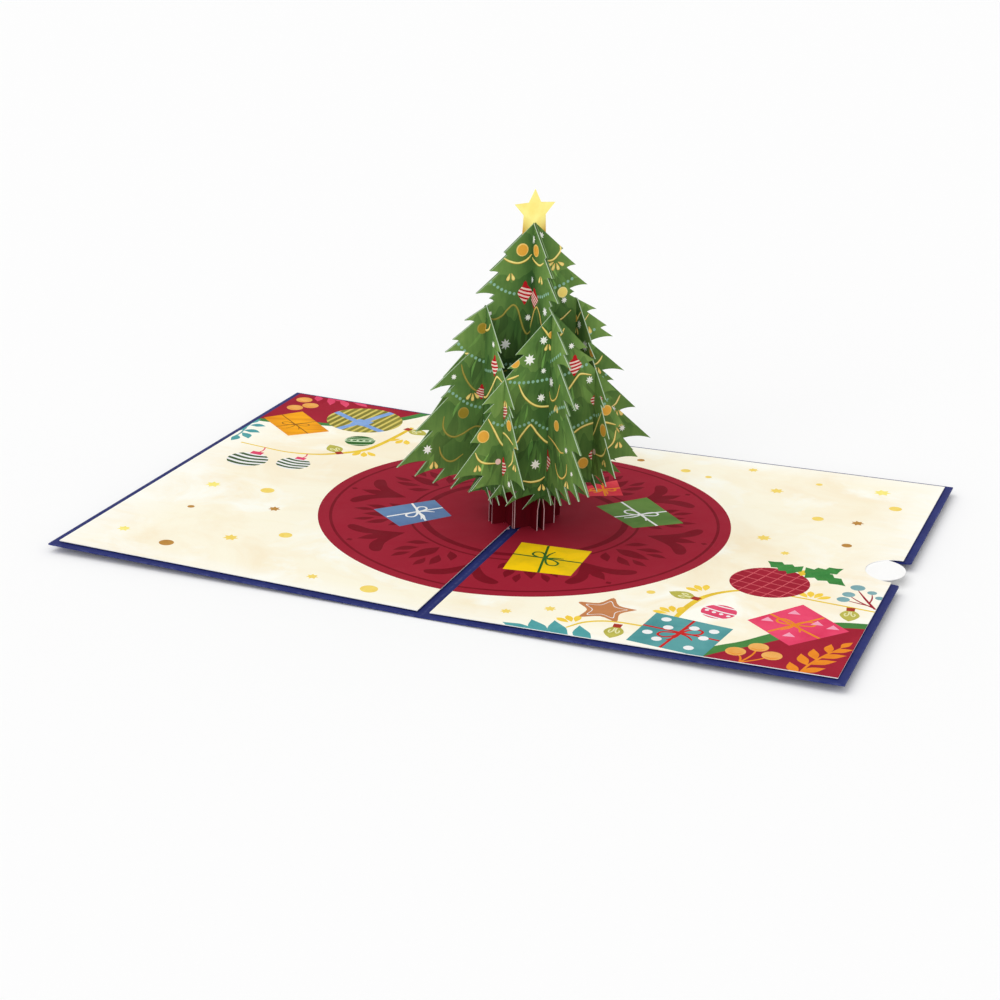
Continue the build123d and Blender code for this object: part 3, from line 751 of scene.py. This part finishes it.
def gifts(art):
    art.gift([(-47.8, -15.4), (-33.2, 2.2), (-22.4, -9.1), (-34.0, -25.8)],
             [((-39.0, -4.0), (-28.4, -17.0)), ((-41.2, -19.6), (-27.7, -2.9))], "blue_gift", "white", 0.8,
             (-34, -10.9), [(84, 5.4), (-104, 5.6)], [(5.0, -5.2), (3.8, -5.6), (5.2, 2.6)])
    art.gift([(18.4, 20.4), (31.5, 35.6), (50.3, 16), (36.3, 5.2)],
             [((24.6, 28.2), (43.2, 10.0)), ((26.8, 12.4), (41.8, 24.8))], "green_gift", "white", 0.8,
             (34.9, 18.3), [(160, 6.4), (28, 5.8)], [(-4.4, -5.0), (3.2, -4.8)])
    art.gift([(6.9, -21.2), (30.5, -20.4), (31.1, -42.8), (9.5, -45.2)],
             [((16.1, -21), (20.9, -44.4)), ((30.9, -31.2), (7.8, -31.8))], "yellow_gift", "dark_green", 0.8,
             (19.0, -31.8), [(138, 6.4), (-48, 6.6)], [(1.0, 6.4), (5.4, 1.6)])
    art.gift([(8.7, 38.3), (16.5, 48.8), (23.5, 34.3), (12.1, 28.8)],
             [((10.4, 33.5), (20.2, 41.6)), ((12.6, 43.6), (18.1, 31.5))], "coral_gift", "orange", 0.8,
             (15.2, 37.2), [(200, 4.4), (20, 4.4)], [(-2, -4), (3, -3.6)])


def corner_field(art, corner, rim, inner):
    """Red field that fills a corner of the card, with a green rim."""
    for ink, line in (("rim_green", rim), ("field", inner)):
        art.add(ink, [tuple(p) for p in smooth(line)] + [corner])


def disc(art, x, y, radius, drops):
    """Apricot disc with a curved mark; drops says how far the mark's points are below its centre."""
    art.add("apricot", ellipse(x, y, radius))
    mark = [(x + aside, y - drop) for aside, drop in zip((-1.8, 0.4, 2.0), drops)]
    art.add("orange", brush(mark, [0.2, 0.5, 0.2]))


def twig(art, ink, points, width, leaves=()):
    """A stem with leaves fanned along it: each has its share of the stem, its length and its angle."""
    art.add(ink, brush(points, [width] * (len(points) - 1) + [width * 0.4]))
    line = smooth(points, 8)
    for share, length, aside in leaves:
        i = min(int(share * (len(line) - 1)), len(line) - 2)
        here, ahead = line[i], line[i + 1]
        a = math.atan2(ahead[1] - here[1], ahead[0] - here[0]) + math.radians(aside)
        tip = (here[0] + length * math.cos(a), here[1] + length * math.sin(a))
        art.add(ink, leaf(tuple(here), tip, 0.399 * length, 0.05))


def front_corner(art):
    """Red and green corner: two gifts, berries, leaf sprays, a garland with lamps, a big ball and a biscuit."""
    corner_field(art, (130, -90),
                 [(78, -90), (86, -79), (93, -72), (98.5, -64.5), (106, -55), (115, -48), (128, -44.6)],
                 [(83, -90), (90.4, -80.4), (97.6, -73), (103, -66.5), (110, -58), (117.4, -51.6), (128, -48.6)])
    twig(art, "orange", [(113.6, -88), (115, -80.5), (117.6, -73), (121.2, -65)], 0.8,
         [(0.04, 8.4, 40), (0.08, 8.4, -38), (0.3, 8.4, 40), (0.34, 8.4, -38), (0.54, 8, 38), (0.6, 8, -36),
          (0.78, 7, 30), (0.8, 7, -28), (0.96, 6, 0)])
    for x, y in ((98.8, -74.2), (103.8, -78.6), (93.4, -79.4)):
        art.add("orange",
                brush([(96.4, -86.4), ((96.4 + x) / 2 + 0.8, (-86.4 + y) / 2), (x, y)], [0.7, 0.6, 0.5]))
        disc(art, x, y, 3.0, (1.3, 1.9, 0.7))
    art.add("gold_thread", brush([(43, -81.6), (47, -75.6), (54, -72.2), (64, -72)], [0.7, 1.0, 1.0, 1.0]))
    art.add("gold_thread",
            brush([(70.6, -62), (71.6, -52), (74, -43.6), (78.6, -37.4), (85, -33.6), (97, -32.8), (110, -34),
                                  (125, -35.6)], [1.6, 2.0, 1.9, 1.5, 1.1, 0.9, 0.9, 0.9]))
    for x, y, turn, count in ((73.4, -40.6, 130, 3), (69.6, -60.4, 128, 4), (104.6, -33.6, 88, 4),
                              (44.4, -78.6, 125, 3)):
        art.fan(x, y, turn, count, 7.0, 2.1, 30)
    for lamp in ((72, -45.6, 166), (117.4, -36.4, -82), (56.6, -74.8, -86)):
        art.lamp(*lamp)
    art.gift([(64.3, -60.8), (88.7, -64.2), (85.6, -87.0), (62.0, -83.6)],
             [((76.6, -62.4), (72.4, -86)), ((63.2, -71.0), (87.2, -74.0))], "teal_gift", "red_line", 0.9,
             (75.2, -73.2), [(205, 6.6), (30, 6.8)], [(-2.6, -6.0), (4.6, -3.6), (1.4, 5.4)])
    for x, y in ((68.5, -64.6), (70.7, -70.2), (78.0, -68.0), (84.0, -68.2), (66.0, -75.6), (69.9, -79.4),
                 (82.4, -74.0),
                 (80.3, -82.2)):
        art.add("white", ellipse(x, y, 1.55, sides=14))
    art.gift([(103.3, -38.0), (120.5, -53.1), (106.6, -69.7), (90.7, -55.9)],
             [((95.8, -48.6), (113.6, -61.4)), ((111.4, -45.6), (98.4, -62.0))], "pink_gift", "orange", 0.9,
             (104.6, -53.8), [(160, 6.0), (20, 6.0)], [(-3.0, -5.6), (2.6, -5.2)])
    for x, y in ((102.2, -45.6), (110.4, -51.2), (115.4, -52.6), (96.0, -53.6), (104.6, -62.6)):
        art.add("pink_pale", [(x - 1.6, y - 1.0), (x + 2.2, y - 0.4), (x - 0.2, y + 2.4)])
    # large quilted ball hung on the garland, with two holly leaves at its cap
    ball = ellipse(89.6, -24.4, 12.4, sides=48)
    art.add("field", ball)
    for k in range(-3, 4):
        for turn in (-14, 72):
            px, py = polar(1, turn)
            x, y = 89.6 - py * k * 4.2, -24.4 + px * k * 4.2
            seam = [(x - 13 * px, y - 13 * py), (x + 0.4 * py, y - 0.4 * px), (x + 13 * px, y + 13 * py)]
            art.add("lattice", brush(seam, 0.42, 3), clip=[ball])
    art.add("gold_thread", brush([(96.0, -13.4), (99.4, -11.2)], [4.4, 3.8], 2))
    for base, tip, bend in (((98, -12), (112, -18.5), 0.08), ((97.6, -12), (108.4, -4.4), -0.08),
                            ((96.6, -11.6), (84.6, -6.8), 0.06)):
        art.add("holly", holly_leaf(base, tip, 9.0, bend))
        art.strip("rim_green", base, tip, [0.7, 0.5, 0.1], 6)
    small = ellipse(81.3, -53.1, 5.4, 5.4, 28)
    art.add("pink", small)
    for low, high in (((75, -50.6), (87.6, -54.0)), ((75, -55.4), (87.6, -58.8)), ((74, -46.6), (87.6, -50.2))):
        art.strip("white", low, high, 0.7, sag=0.5, clip=[small])
    art.dots("white", ((77.6, -53.0, 0.7), (80, -53.9, 0.7), (82.4, -54.6, 0.7), (84.8, -55.4, 0.7)), 8)
    # spiced biscuit, cut as a star, with an iced line
    x, y = 49.4, -64.4
    points = burst(x, y, 9.6, 5, 0.56, 0.35)
    rings = [[(x + (px - x) * share, y + (py - y) * share) for px, py in smooth(points + points[:1], 4)]
             for share in (1.0, 0.72, 0.6696)]
    art.add("biscuit", rings[0])
    art.add("white", *rings[1:])
    art.leaves("teal", (((40.4, -87.6), (31.6, -79.6), 5.2), ((46.2, -88.4), (38.2, -77.8), 5.6),
                        ((53.4, -88.8), (46.2, -78.6), 5.2), ((34.8, -85.6), (24.4, -84.8), 4.4),
                        ((35, -88), (22.6, -87.4), 3.0)), 0.1)
    for width, *points in ((0.8, (124.2, -33.6), (120.4, -27.6), (116.4, -20.6)),
                           (0.5, (121.6, -29.4), (121.6, -25.4), (120.8, -21.6)),
                           (0.6, (124.0, -33.0), (118.6, -29.4), (114.4, -25.4)),
                           (0.6, (122.6, -31.6), (118.0, -30.6), (114, -29.6))):
        twig(art, "field", points, width)
    art.dots("teal_pale", ((115.8, -18.4, 2.3), (120.7, -20.9, 1.5), (114.3, -24.8, 2.0), (113.6, -29.3, 2.0),
                           (123.7, -24.3, 1.4)))


def holly_leaf(base, tip, width, bend):
    """Leaf with scalloped, spiny sides."""
    (x0, y0), (x1, y1) = base, tip
    length = math.hypot(x1 - x0, y1 - y0)
    ux, uy = (x1 - x0) / length, (y1 - y0) / length
    sides = []
    for way in (1, -1):
        side = [(0.0, 0.0)]
        for k in range(3):
            side += [(0.16 + 0.27 * k, 0.5 - 0.08 * k), (0.3 + 0.27 * k, 0.27 - 0.06 * k)]
        sides.append([(s, way * w) for s, w in side])
    ring = sides[0] + [(1.0, 0.0)] + sides[1][::-1][:-1]
    out = []
    for s, w in ring:
        bow = bend * length * math.sin(math.pi * s)
        out.append((x0 + ux * s * length - uy * (w * width + bow), y0 + uy * s * length + ux * (w * width + bow)))
    return out


def back_corner(art):
    """The opposite corner: red field, a gift, a round striped parcel, berries, leaves, a garland and baubles."""
    corner_field(art, (-128, 90),
                 [(-128, 49), (-118, 50), (-107, 54), (-96, 57), (-84, 65), (-75, 77), (-68, 90)],
                 [(-128, 52), (-118, 53), (-107, 57), (-97, 60), (-87, 67.4), (-78.4, 78), (-72, 90)])
    for x, y in ((-119.6, 80.0), (-114.5, 74.8), (-118.6, 69.8)):
        disc(art, x, y, 3.1, (1.4, 2.1, 0.9))
    art.leaves("pink", (((-117.6, 87), (-114.4, 80.8), 3.2), ((-112.6, 87), (-108.2, 78.8), 3.2),
                        ((-107.6, 86.4), (-101.6, 79.2), 3.2), ((-102.4, 86.6), (-94.6, 83.2), 3.2),
                        ((-112, 86.6), (-104.4, 85.2), 3.2)), 0.08)
    art.add("gold_thread",
            brush([(-118, 24.6), (-108, 23.4), (-98, 22.8), (-88, 25.6), (-80.4, 31.4), (-74.8, 38.4),
                   (-72.4, 48),
                                  (-71.0, 58), (-69.8, 69)], [0.8, 0.8, 0.9, 1.3, 1.8, 1.9, 1.8, 1.7, 1.6]))
    for x, y, turn, count in ((-75.2, 37.6, -68, 3), (-67.4, 57.0, -95, 3)):
        art.fan(x, y, turn, count, 7.4, 2.2, 32)
    art.gift([(-114.0, 66.8), (-95.2, 50.5), (-106.3, 39.0), (-123.5, 53.5)],
             [((-119.4, 60.0), (-101.0, 44.6)), ((-104.4, 58.4), (-115.0, 46.2))], "orange_gift", "brown", 0.45,
             (-109.4, 51.6), [(175, 5.4), (20, 5.0)], [(-1.4, -5.2), (3.4, -4.4)])
    parcel = ellipse(-89.0, 68.4, 14.2, sides=60)
    art.add("olive_gift", parcel)
    for k in range(-5, 6):
        x = -89.0 + 2.75 * k
        art.add("stripe_cream", brush([(x - 1.8, 53), (x, 68), (x + 1.8, 84)], 1.1, 2), clip=[parcel])
    for a, b in (((-104.4, 73.6), (-76.6, 58.6)), ((-82.6, 84.0), (-94.4, 52.8))):
        art.strip("sky", a, b, 2.6, sag=0.6, clip=[parcel])
    for angle in (38, 128, 218, 308):
        px, py = polar(4.6, angle)
        art.add("sky", leaf((-88.8 - 0.3 * px, 65.4 - 0.3 * py), (-88.8 + px, 65.4 + py), 5.0))
    art.add("sky", ellipse(-88.8, 65.4, 3.2))
    ball = ellipse(-80.8, 46.0, 5.5, sides=30)
    art.add("dark_green", ball)
    for shift, width in ((-3.4, 0.5), (1.4, 3.0), (4.4, 0.5)):
        band = [(-87, 43.0 + shift), (-81, 44.8 + shift), (-75, 48.0 + shift)]
        art.add("berry_green", brush(band, width, 4), clip=[ball])
    for i in range(5):
        x, y = -84.8 + 2.1 * i, 44.9 + 0.8 * i
        art.add("dark_green", [(x - 0.7, y - 0.8), (x + 0.7, y - 0.4), (x + 0.6, y + 0.9), (x - 0.8, y + 0.5)])
    art.lamp(-82, 30.6, 135)
    art.lamp(-70.4, 66.4, -20)
    art.leaves("teal", (((-124.6, 44.6), (-123.4, 51.0), 3.0), ((-124.0, 43.0), (-118.2, 44.6), 3.4),
                        ((-123.6, 36.8), (-116.8, 37.2), 3.6), ((-122.8, 34.4), (-117.6, 29.4), 3.4),
                        ((-123.2, 31.4), (-122.2, 24.6), 3.2), ((-125.4, 42.0), (-124.6, 35.6), 2.2)), 0.1)
    art.add("teal", brush([(-124.6, 46.0), (-124.0, 40.0), (-122.9, 34.0), (-122.9, 28.0)], 0.6, 3))
    # two striped balls hung on the garland's thin end
    for x, y, r, knot in ((-107.6, 9.4, 7.3, 23.4), (-91.4, 12.8, 6.0, 24.2)):
        whole = ellipse(x, y, r, sides=36)
        art.add("pink", brush([(x, y + r), (x + 0.7, (y + r + knot) / 2), (x, knot)], 0.5, 3))
        art.add("white", whole)
        for share in (-0.66, -0.24, 0.18, 0.6):
            middle = y + share * r
            stripe = [(x - 1.1 * r, middle + 0.2 * r), (x, middle - 0.06 * r), (x + 1.1 * r, middle + 0.2 * r)]
            art.add("stripe_green", brush(stripe, 0.22 * r, 4), clip=[whole])
        art.add("pink", brush([(x - 0.3 * r, y + r), (x + 0.3 * r, y + r)], 0.4 * r, 2))


# Dots and small stars scattered over the cream paper: where they are and their radii
DOTS = {
    "dot_gold": ((-87.1, -15.7, 2.4), (-63.4, -49.9, 2.2), (36.0, 68.0, 1.8), (45.3, 64.5, 1.2),
                 (83.3, 71.7, 1.2),
                 (112.8, 57.1, 2.2), (90.6, 37.4, 2.0), (-21.4, -78.1, 2.8), (-58, 70, 1.8), (58, -46, 1.4)),
    "dot_brown": ((-93.9, -72.8, 2.4), (-102.5, -41.0, 1.2), (104.9, 16.3, 1.7), (17.8, 73.0, 1.4),
                  (-36, 76, 1.3)),
}
STARS = {
    "dot_yellow": ((-106.0, -18.9, 2.2), (-111.8, -68.2, 1.8), (105.4, 71.6, 2.5)),
    "dot_brown": ((-77.2, -30.3, 1.7), (103.8, 38.2, 1.8)),
    "dot_gold": ((-78.0, -59.7, 2.1), (-40.9, -77.0, 1.6), (71.1, 59.5, 2.1), (78.3, 12.9, 2.1), (-20, 80, 1.6),
                 (58, 78, 1.6), (88, 2, 1.4), (34, -70, 1.6), (22.5, -76.7, 1.5)),
}


def liner_print(side):
    """Print of a liner: side is -1 on the left panel and 1 on the right one."""
    art = Art()
    for ink, places in DOTS.items():
        art.dots(ink, [place for place in places if place[0] * side > 0])
    for ink, places in STARS.items():
        for x, y, r in places:
            if x * side > 0:
                art.add(ink, burst(x, y, 1.25 * r, 7, 0.6))
    (back_corner if side < 0 else front_corner)(art)
    skirt(art)
    gifts(art)
    return art


# ---------------------------------------------------------------- printed sheets
def crossed_odd(px, py, segments):
    """From which places a ray crosses an odd number of the segments."""
    odd = np.zeros(len(px), bool)
    for (x0, y0), (x1, y1) in segments:
        if y0 != y1:
            crosses = (y0 > py) != (y1 > py)
            odd ^= crosses & (px < (x1 - x0) * (py - y0) / (y1 - y0) + x0)
    return odd


def inside(points, rings):
    """Which points lie inside the rings, by the even-odd rule."""
    hit = np.zeros(len(points), bool)
    px, py = points[:, 0], points[:, 1]
    for ring in rings:
        low, high = np.min(ring, 0), np.max(ring, 0)
        near = np.nonzero((px > low[0]) & (px < high[0]) & (py > low[1]) & (py < high[1]))[0]
        if len(near):
            hit[near] ^= crossed_odd(px[near], py[near], zip(ring, np.roll(ring, -1, axis=0)))
    return hit


def flat_groups(bm):
    """The mesh's polygons by the flat face that they belong to."""
    groups = []
    for face in bm.faces:
        reach = face.normal.dot(face.calc_center_median())
        for group in groups:
            if group["normal"].dot(face.normal) > 0.99999 and abs(group["reach"] - reach) < SAME_PLANE:
                group["faces"].append(face)
                break
        else:
            groups.append({"normal": face.normal.copy(), "reach": reach, "faces": [face]})
    return groups


class Plan:
    """Drawing coordinates on a flat face, in millimetres: to the viewer's right, and up or away."""

    def __init__(self, group):
        normal = group["normal"]
        self.normal, self.reach = normal, group["reach"] / MM
        self.flat = abs(normal.z) > 0.5
        if self.flat:
            self.right, self.away, self.through, self.start = Vector((1, 0, 0)), Vector((0, 1, 0)), UP, 0.0
        else:
            self.right = UP.cross(normal).normalized()
            self.away, self.through, self.start = UP, self.right.cross(UP), COVER_TOP

    def flatten(self, point):
        return point.dot(self.right) / MM, point.dot(self.away) / MM - self.start

    def lift(self, u, v):
        base = self.right * u + self.away * (v + self.start)
        depth = (self.reach - self.normal.dot(base)) / self.normal.dot(self.through)
        return (base + self.through * depth) * MM


def cut_print(group, art, ground):
    """Triangles of a flat face cut along the outlines of its print, as (corner points, ink)."""
    plan = Plan(group)
    count = {}
    for face in group["faces"]:
        for edge in face.edges:
            count[edge] = count.get(edge, 0) + 1
    rim = [edge for edge, uses in count.items() if uses == 1]
    verts = list({v for edge in rim for v in edge.verts})
    index = {v: i for i, v in enumerate(verts)}
    coords = [plan.flatten(v.co) for v in verts]
    edges = [(index[e.verts[0]], index[e.verts[1]]) for e in rim]
    rim_lines = [(coords[a], coords[b]) for a, b in edges]
    lows, highs = np.min(coords, 0), np.max(coords, 0)
    shapes = []
    for ink, rings, clip in art.shapes:
        rings = [ring for ring in rings if len(ring) > 2]
        if not rings or np.any(np.max(rings[0], 0) < lows) or np.any(np.min(rings[0], 0) > highs):
            continue
        shapes.append((ink, rings, clip))
        for ring in rings + list(clip or []):
            first = len(coords)
            coords += [tuple(map(float, p)) for p in ring]
            edges += [(first + i, first + (i + 1) % len(ring)) for i in range(len(ring))]
    points, _, faces, origins, _, _ = delaunay_2d_cdt([Vector(c) for c in coords], edges, [], 0, DRAWN_TOGETHER)
    flat = np.array([tuple(p) for p in points])
    faces = np.array([tuple(f) for f in faces])
    middles = flat[faces].mean(1)
    a, b, c = flat[faces[:, 0]], flat[faces[:, 1]], flat[faces[:, 2]]
    area = np.abs((b[:, 0] - a[:, 0]) * (c[:, 1] - a[:, 1]) - (b[:, 1] - a[:, 1]) * (c[:, 0] - a[:, 0])) / 2
    keep = crossed_odd(middles[:, 0], middles[:, 1], rim_lines) & (area > NO_AREA)
    faces, middles = faces[keep], middles[keep]
    inks = np.array([ground] * len(faces), dtype=object)
    for ink, rings, clip in shapes:
        hit = inside(middles, rings)
        if clip:
            hit &= inside(middles, clip)
        inks[hit] = ink
    placed = []
    for point, origin in zip(points, origins):
        own = [i for i in origin if i < len(verts)]
        placed.append((verts[own[0]].co.copy(), coords[own[0]]) if own else (plan.lift(*point), tuple(point)))
    turned = plan.flat and plan.normal.z < 0
    return [([placed[i] for i in (face[::-1] if turned else face)], ink) for face, ink in zip(faces, inks)]


def heal(bm):
    """Splits open edges at the open corners that lie on them, so that printed and plain faces join."""
    for _ in range(4):
        loose = [e for e in bm.edges if len(e.link_faces) == 1]
        corners = list({v for e in loose for v in e.verts})
        if not corners:
            return
        where = np.array([v.co[:] for v in corners])
        for edge in loose:
            a, b = edge.verts
            start, run = np.array(a.co), np.array(b.co) - np.array(a.co)
            length = np.linalg.norm(run)
            along = (where - start) @ run / length ** 2
            off = np.linalg.norm(where - start - along[:, None] * run, axis=1)
            between = (along * length > SAME_CORNER) & ((1 - along) * length > SAME_CORNER)
            on = np.nonzero((off < ON_EDGE) & between)[0]
            piece, last = edge, 0.0
            for i in sorted(on, key=lambda i: along[i]):
                share = (along[i] - last) / (1 - last)
                near = a if last == 0.0 else made
                _, made = bmesh.utils.edge_split(piece, near, share)
                made.co = corners[i].co
                piece = next(e for e in made.link_edges if b in e.verts)
                last = along[i]
        bmesh.ops.remove_doubles(bm, verts=bm.verts, dist=WELD)


def linked(name, data):
    """A new object of the scene."""
    made = bpy.data.objects.new(name, data)
    bpy.context.scene.collection.objects.link(made)
    return made


def dress(name, art_for, rim_ink="core"):
    """A sheet of the CAD node's own shape, printed; art_for gives a flat face's art and ground ink."""
    source = bmesh.new()
    source.from_mesh(nodes[name].data)
    bmesh.ops.remove_doubles(source, verts=source.verts, dist=SAME_CORNER)
    source.normal_update()
    places, plans, polygons, inks = {}, [], [], []

    def corner(co, plan):
        key = tuple(round(x * 1e7) for x in co)
        if key not in places:
            places[key] = len(plans)
            plans.append((tuple(co), plan))
        return places[key]

    for group in flat_groups(source):
        area = sum(face.calc_area() for face in group["faces"])
        print_here = art_for(group["normal"]) if area > PRINTED_AREA else None
        if print_here:
            for corners, ink in cut_print(group, *print_here):
                polygons.append([corner(co, plan) for co, plan in corners])
                inks.append(ink)
        else:
            for face in group["faces"]:
                low = face.calc_center_median().z < LEG_TOP
                polygons.append([corner(v.co, None) for v in face.verts])
                inks.append("leg_core" if low and name.startswith("tree") else rim_ink)
    keep = [(p, i) for p, i in zip(polygons, inks) if len(set(p)) == len(p)]
    mesh = bpy.data.meshes.new("printed_" + name)
    mesh.from_pydata([co for co, _ in plans], [], [p for p, _ in keep])
    used = sorted({i for _, i in keep})
    for ink in used:
        mesh.materials.append(INKS[ink])
    mesh.polygons.foreach_set("material_index", [used.index(i) for _, i in keep])
    bm = bmesh.new()
    bm.from_mesh(mesh)
    bmesh.ops.remove_doubles(bm, verts=bm.verts, dist=WELD)
    heal(bm)
    bmesh.ops.dissolve_degenerate(bm, edges=bm.edges, dist=NO_LENGTH)
    bmesh.ops.triangulate(bm, faces=[f for f in bm.faces if len(f.verts) > 3])
    stray = [f for f in bm.faces if {1, 3} <= {len(e.link_faces) for e in f.edges}]
    bmesh.ops.delete(bm, geom=stray, context="FACES")
    bm.to_mesh(mesh)
    open_edges = sum(1 for e in bm.edges if len(e.link_faces) != 2)
    print(f"{name}: {len(bm.faces)} faces, {open_edges} open edges")
    bm.free()
    source.free()
    attribute = mesh.attributes.new("plan", "FLOAT_VECTOR", "POINT")
    values = []
    for vertex in mesh.vertices:
        values += plan_of(name, vertex.co)
    attribute.data.foreach_set("vector", values)
    made = linked("printed_" + name, mesh)
    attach(made, "card")
    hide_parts(name)


def plan_of(name, co):
    """Distance from the sheet's middle and height above the cover, in millimetres."""
    x, y, z = co.x / MM, co.y / MM, co.z / MM
    if name.startswith("cross_sheet"):
        turned = math.radians(45 if name.endswith(("front_right", "back_left")) else -45)
        across = x * math.cos(turned) + y * math.sin(turned)
    else:
        across = math.hypot(x, y)
    return [across, z - COVER_TOP, 0.0]


# ---------------------------------------------------------------- the object
def clad(name, material):
    """Gives a CAD node's own mesh one material."""
    nodes[name].data.materials.clear()
    nodes[name].data.materials.append(material)


# Which way each sheet faces, in degrees from +X
QUARTERS = {"front": 270, "right": 0, "back": 90, "left": 180}
CROSSINGS = {"front_right": 315, "back_left": 135, "front_left": 225, "back_right": 45}

for number, (name, facing) in enumerate(QUARTERS.items()):
    out = Vector((*polar(1, facing), 0))

    def quarter_art(normal, out=out, name=name, number=number):
        if abs(normal.z) > 0.5:
            return None
        hidden = normal.dot(out) < 0
        wing = 0 if hidden else (1 if UP.cross(normal).dot(out) > 0 else -1)
        return large_print(wing, name in ("right", "back"), 20 + 4 * number + wing), "large"

    # The right and left quarters get darker cut edges: painted shade
    dress("tree_quarter_" + name, quarter_art, "core" if number % 2 == 0 else "core_dim")

for name, facing in CROSSINGS.items():
    out = Vector((*polar(1, facing), 0))

    def crossing_art(normal, out=out):
        return small_print(1 if normal.dot(out) > 0 else -1), "small"

    dress("cross_sheet_" + name, crossing_art)
    clad("trunk_wall_" + name, trunk_red("trunk_" + name, out))

for side, name in ((-1, "liner_left"), (1, "liner_right")):
    def liner_art(normal, side=side):
        return (liner_print(side), "cream") if normal.z > 0.5 else None

    dress(name, liner_art, "white")

clad("cover", cover_card())
clad("liner_tape_left", tape_film())
clad("liner_tape_right", tape_film())
clad("notecard", printed("note_white", (253, 253, 252), (249, 248, 246), 16))
clad("star_topper", star_card())


# ---------------------------------------------------------------- floor, light and camera
def make_floor():
    mesh = bpy.data.meshes.new("floor")
    mesh.from_pydata([(x * FLOOR_REACH, y * FLOOR_REACH, 0) for x, y in ((-1, -1), (1, -1), (1, 1), (-1, 1))],
                     [], [(0, 1, 2, 3)])
    white = Surface("floor_white")
    shader = white.add("BsdfDiffuse", {"Color": (0.965, 0.965, 0.965, 1), "Roughness": 0.0})
    white.add("OutputMaterial", {"Surface": shader.outputs["BSDF"]})
    mesh.materials.append(white.material)
    made = linked("floor", mesh)
    made.location.z = FLOOR_LEVEL


def make_light():
    """White surroundings for the camera, a dimmer even light for the object, and two soft suns."""
    world = bpy.data.worlds.new("studio")
    bpy.context.scene.world = world
    world.use_nodes = True
    tree = world.node_tree
    tree.nodes.clear()

    def larger(first, second):
        return node(tree, "Math", {0: first, 1: second}, operation="MAXIMUM").outputs[0]

    path = node(tree, "LightPath").outputs
    seen = larger(path["Is Camera Ray"], larger(path["Is Glossy Ray"], path["Is Transmission Ray"]))
    ambient, white = (node(tree, "Background", {"Color": (1, 1, 1, 1), "Strength": strength}).outputs[0]
                      for strength in (AMBIENT, 1.0))
    mix = node(tree, "MixShader", {0: seen, 1: ambient, 2: white})
    node(tree, "OutputWorld", {"Surface": mix.outputs[0]})
    for name, strength, towards in SUNS:
        lamp = bpy.data.lights.new(name, "SUN")
        lamp.energy = strength
        lamp.angle = math.radians(SUN_SPREAD)
        made = linked(name, lamp)
        made.rotation_mode = "QUATERNION"
        made.rotation_quaternion = Vector(towards).to_track_quat("Z", "Y")


def make_camera():
    """The photograph's view, with its slight roll."""
    data = bpy.data.cameras.new("camera")
    data.sensor_width, data.lens = SENSOR, LENS
    made = linked("camera", data)
    azimuth, elevation, roll = (math.radians(x) for x in (AZIMUTH, ELEVATION, ROLL))
    back = Vector((math.sin(azimuth) * math.cos(elevation), -math.cos(azimuth) * math.cos(elevation),
                   math.sin(elevation)))
    level = Vector((math.cos(azimuth), math.sin(azimuth), 0))
    rise = back.cross(level)
    right = level * math.cos(roll) + rise * math.sin(roll)
    up = rise * math.cos(roll) - level * math.sin(roll)
    rotation = Matrix((right, up, back)).transposed().to_4x4()
    made.matrix_world = Matrix.Translation(TARGET + back * DISTANCE) @ rotation
    bpy.context.scene.camera = made


make_floor()
make_light()
make_camera()
bpy.context.scene.view_settings.view_transform = "Standard"
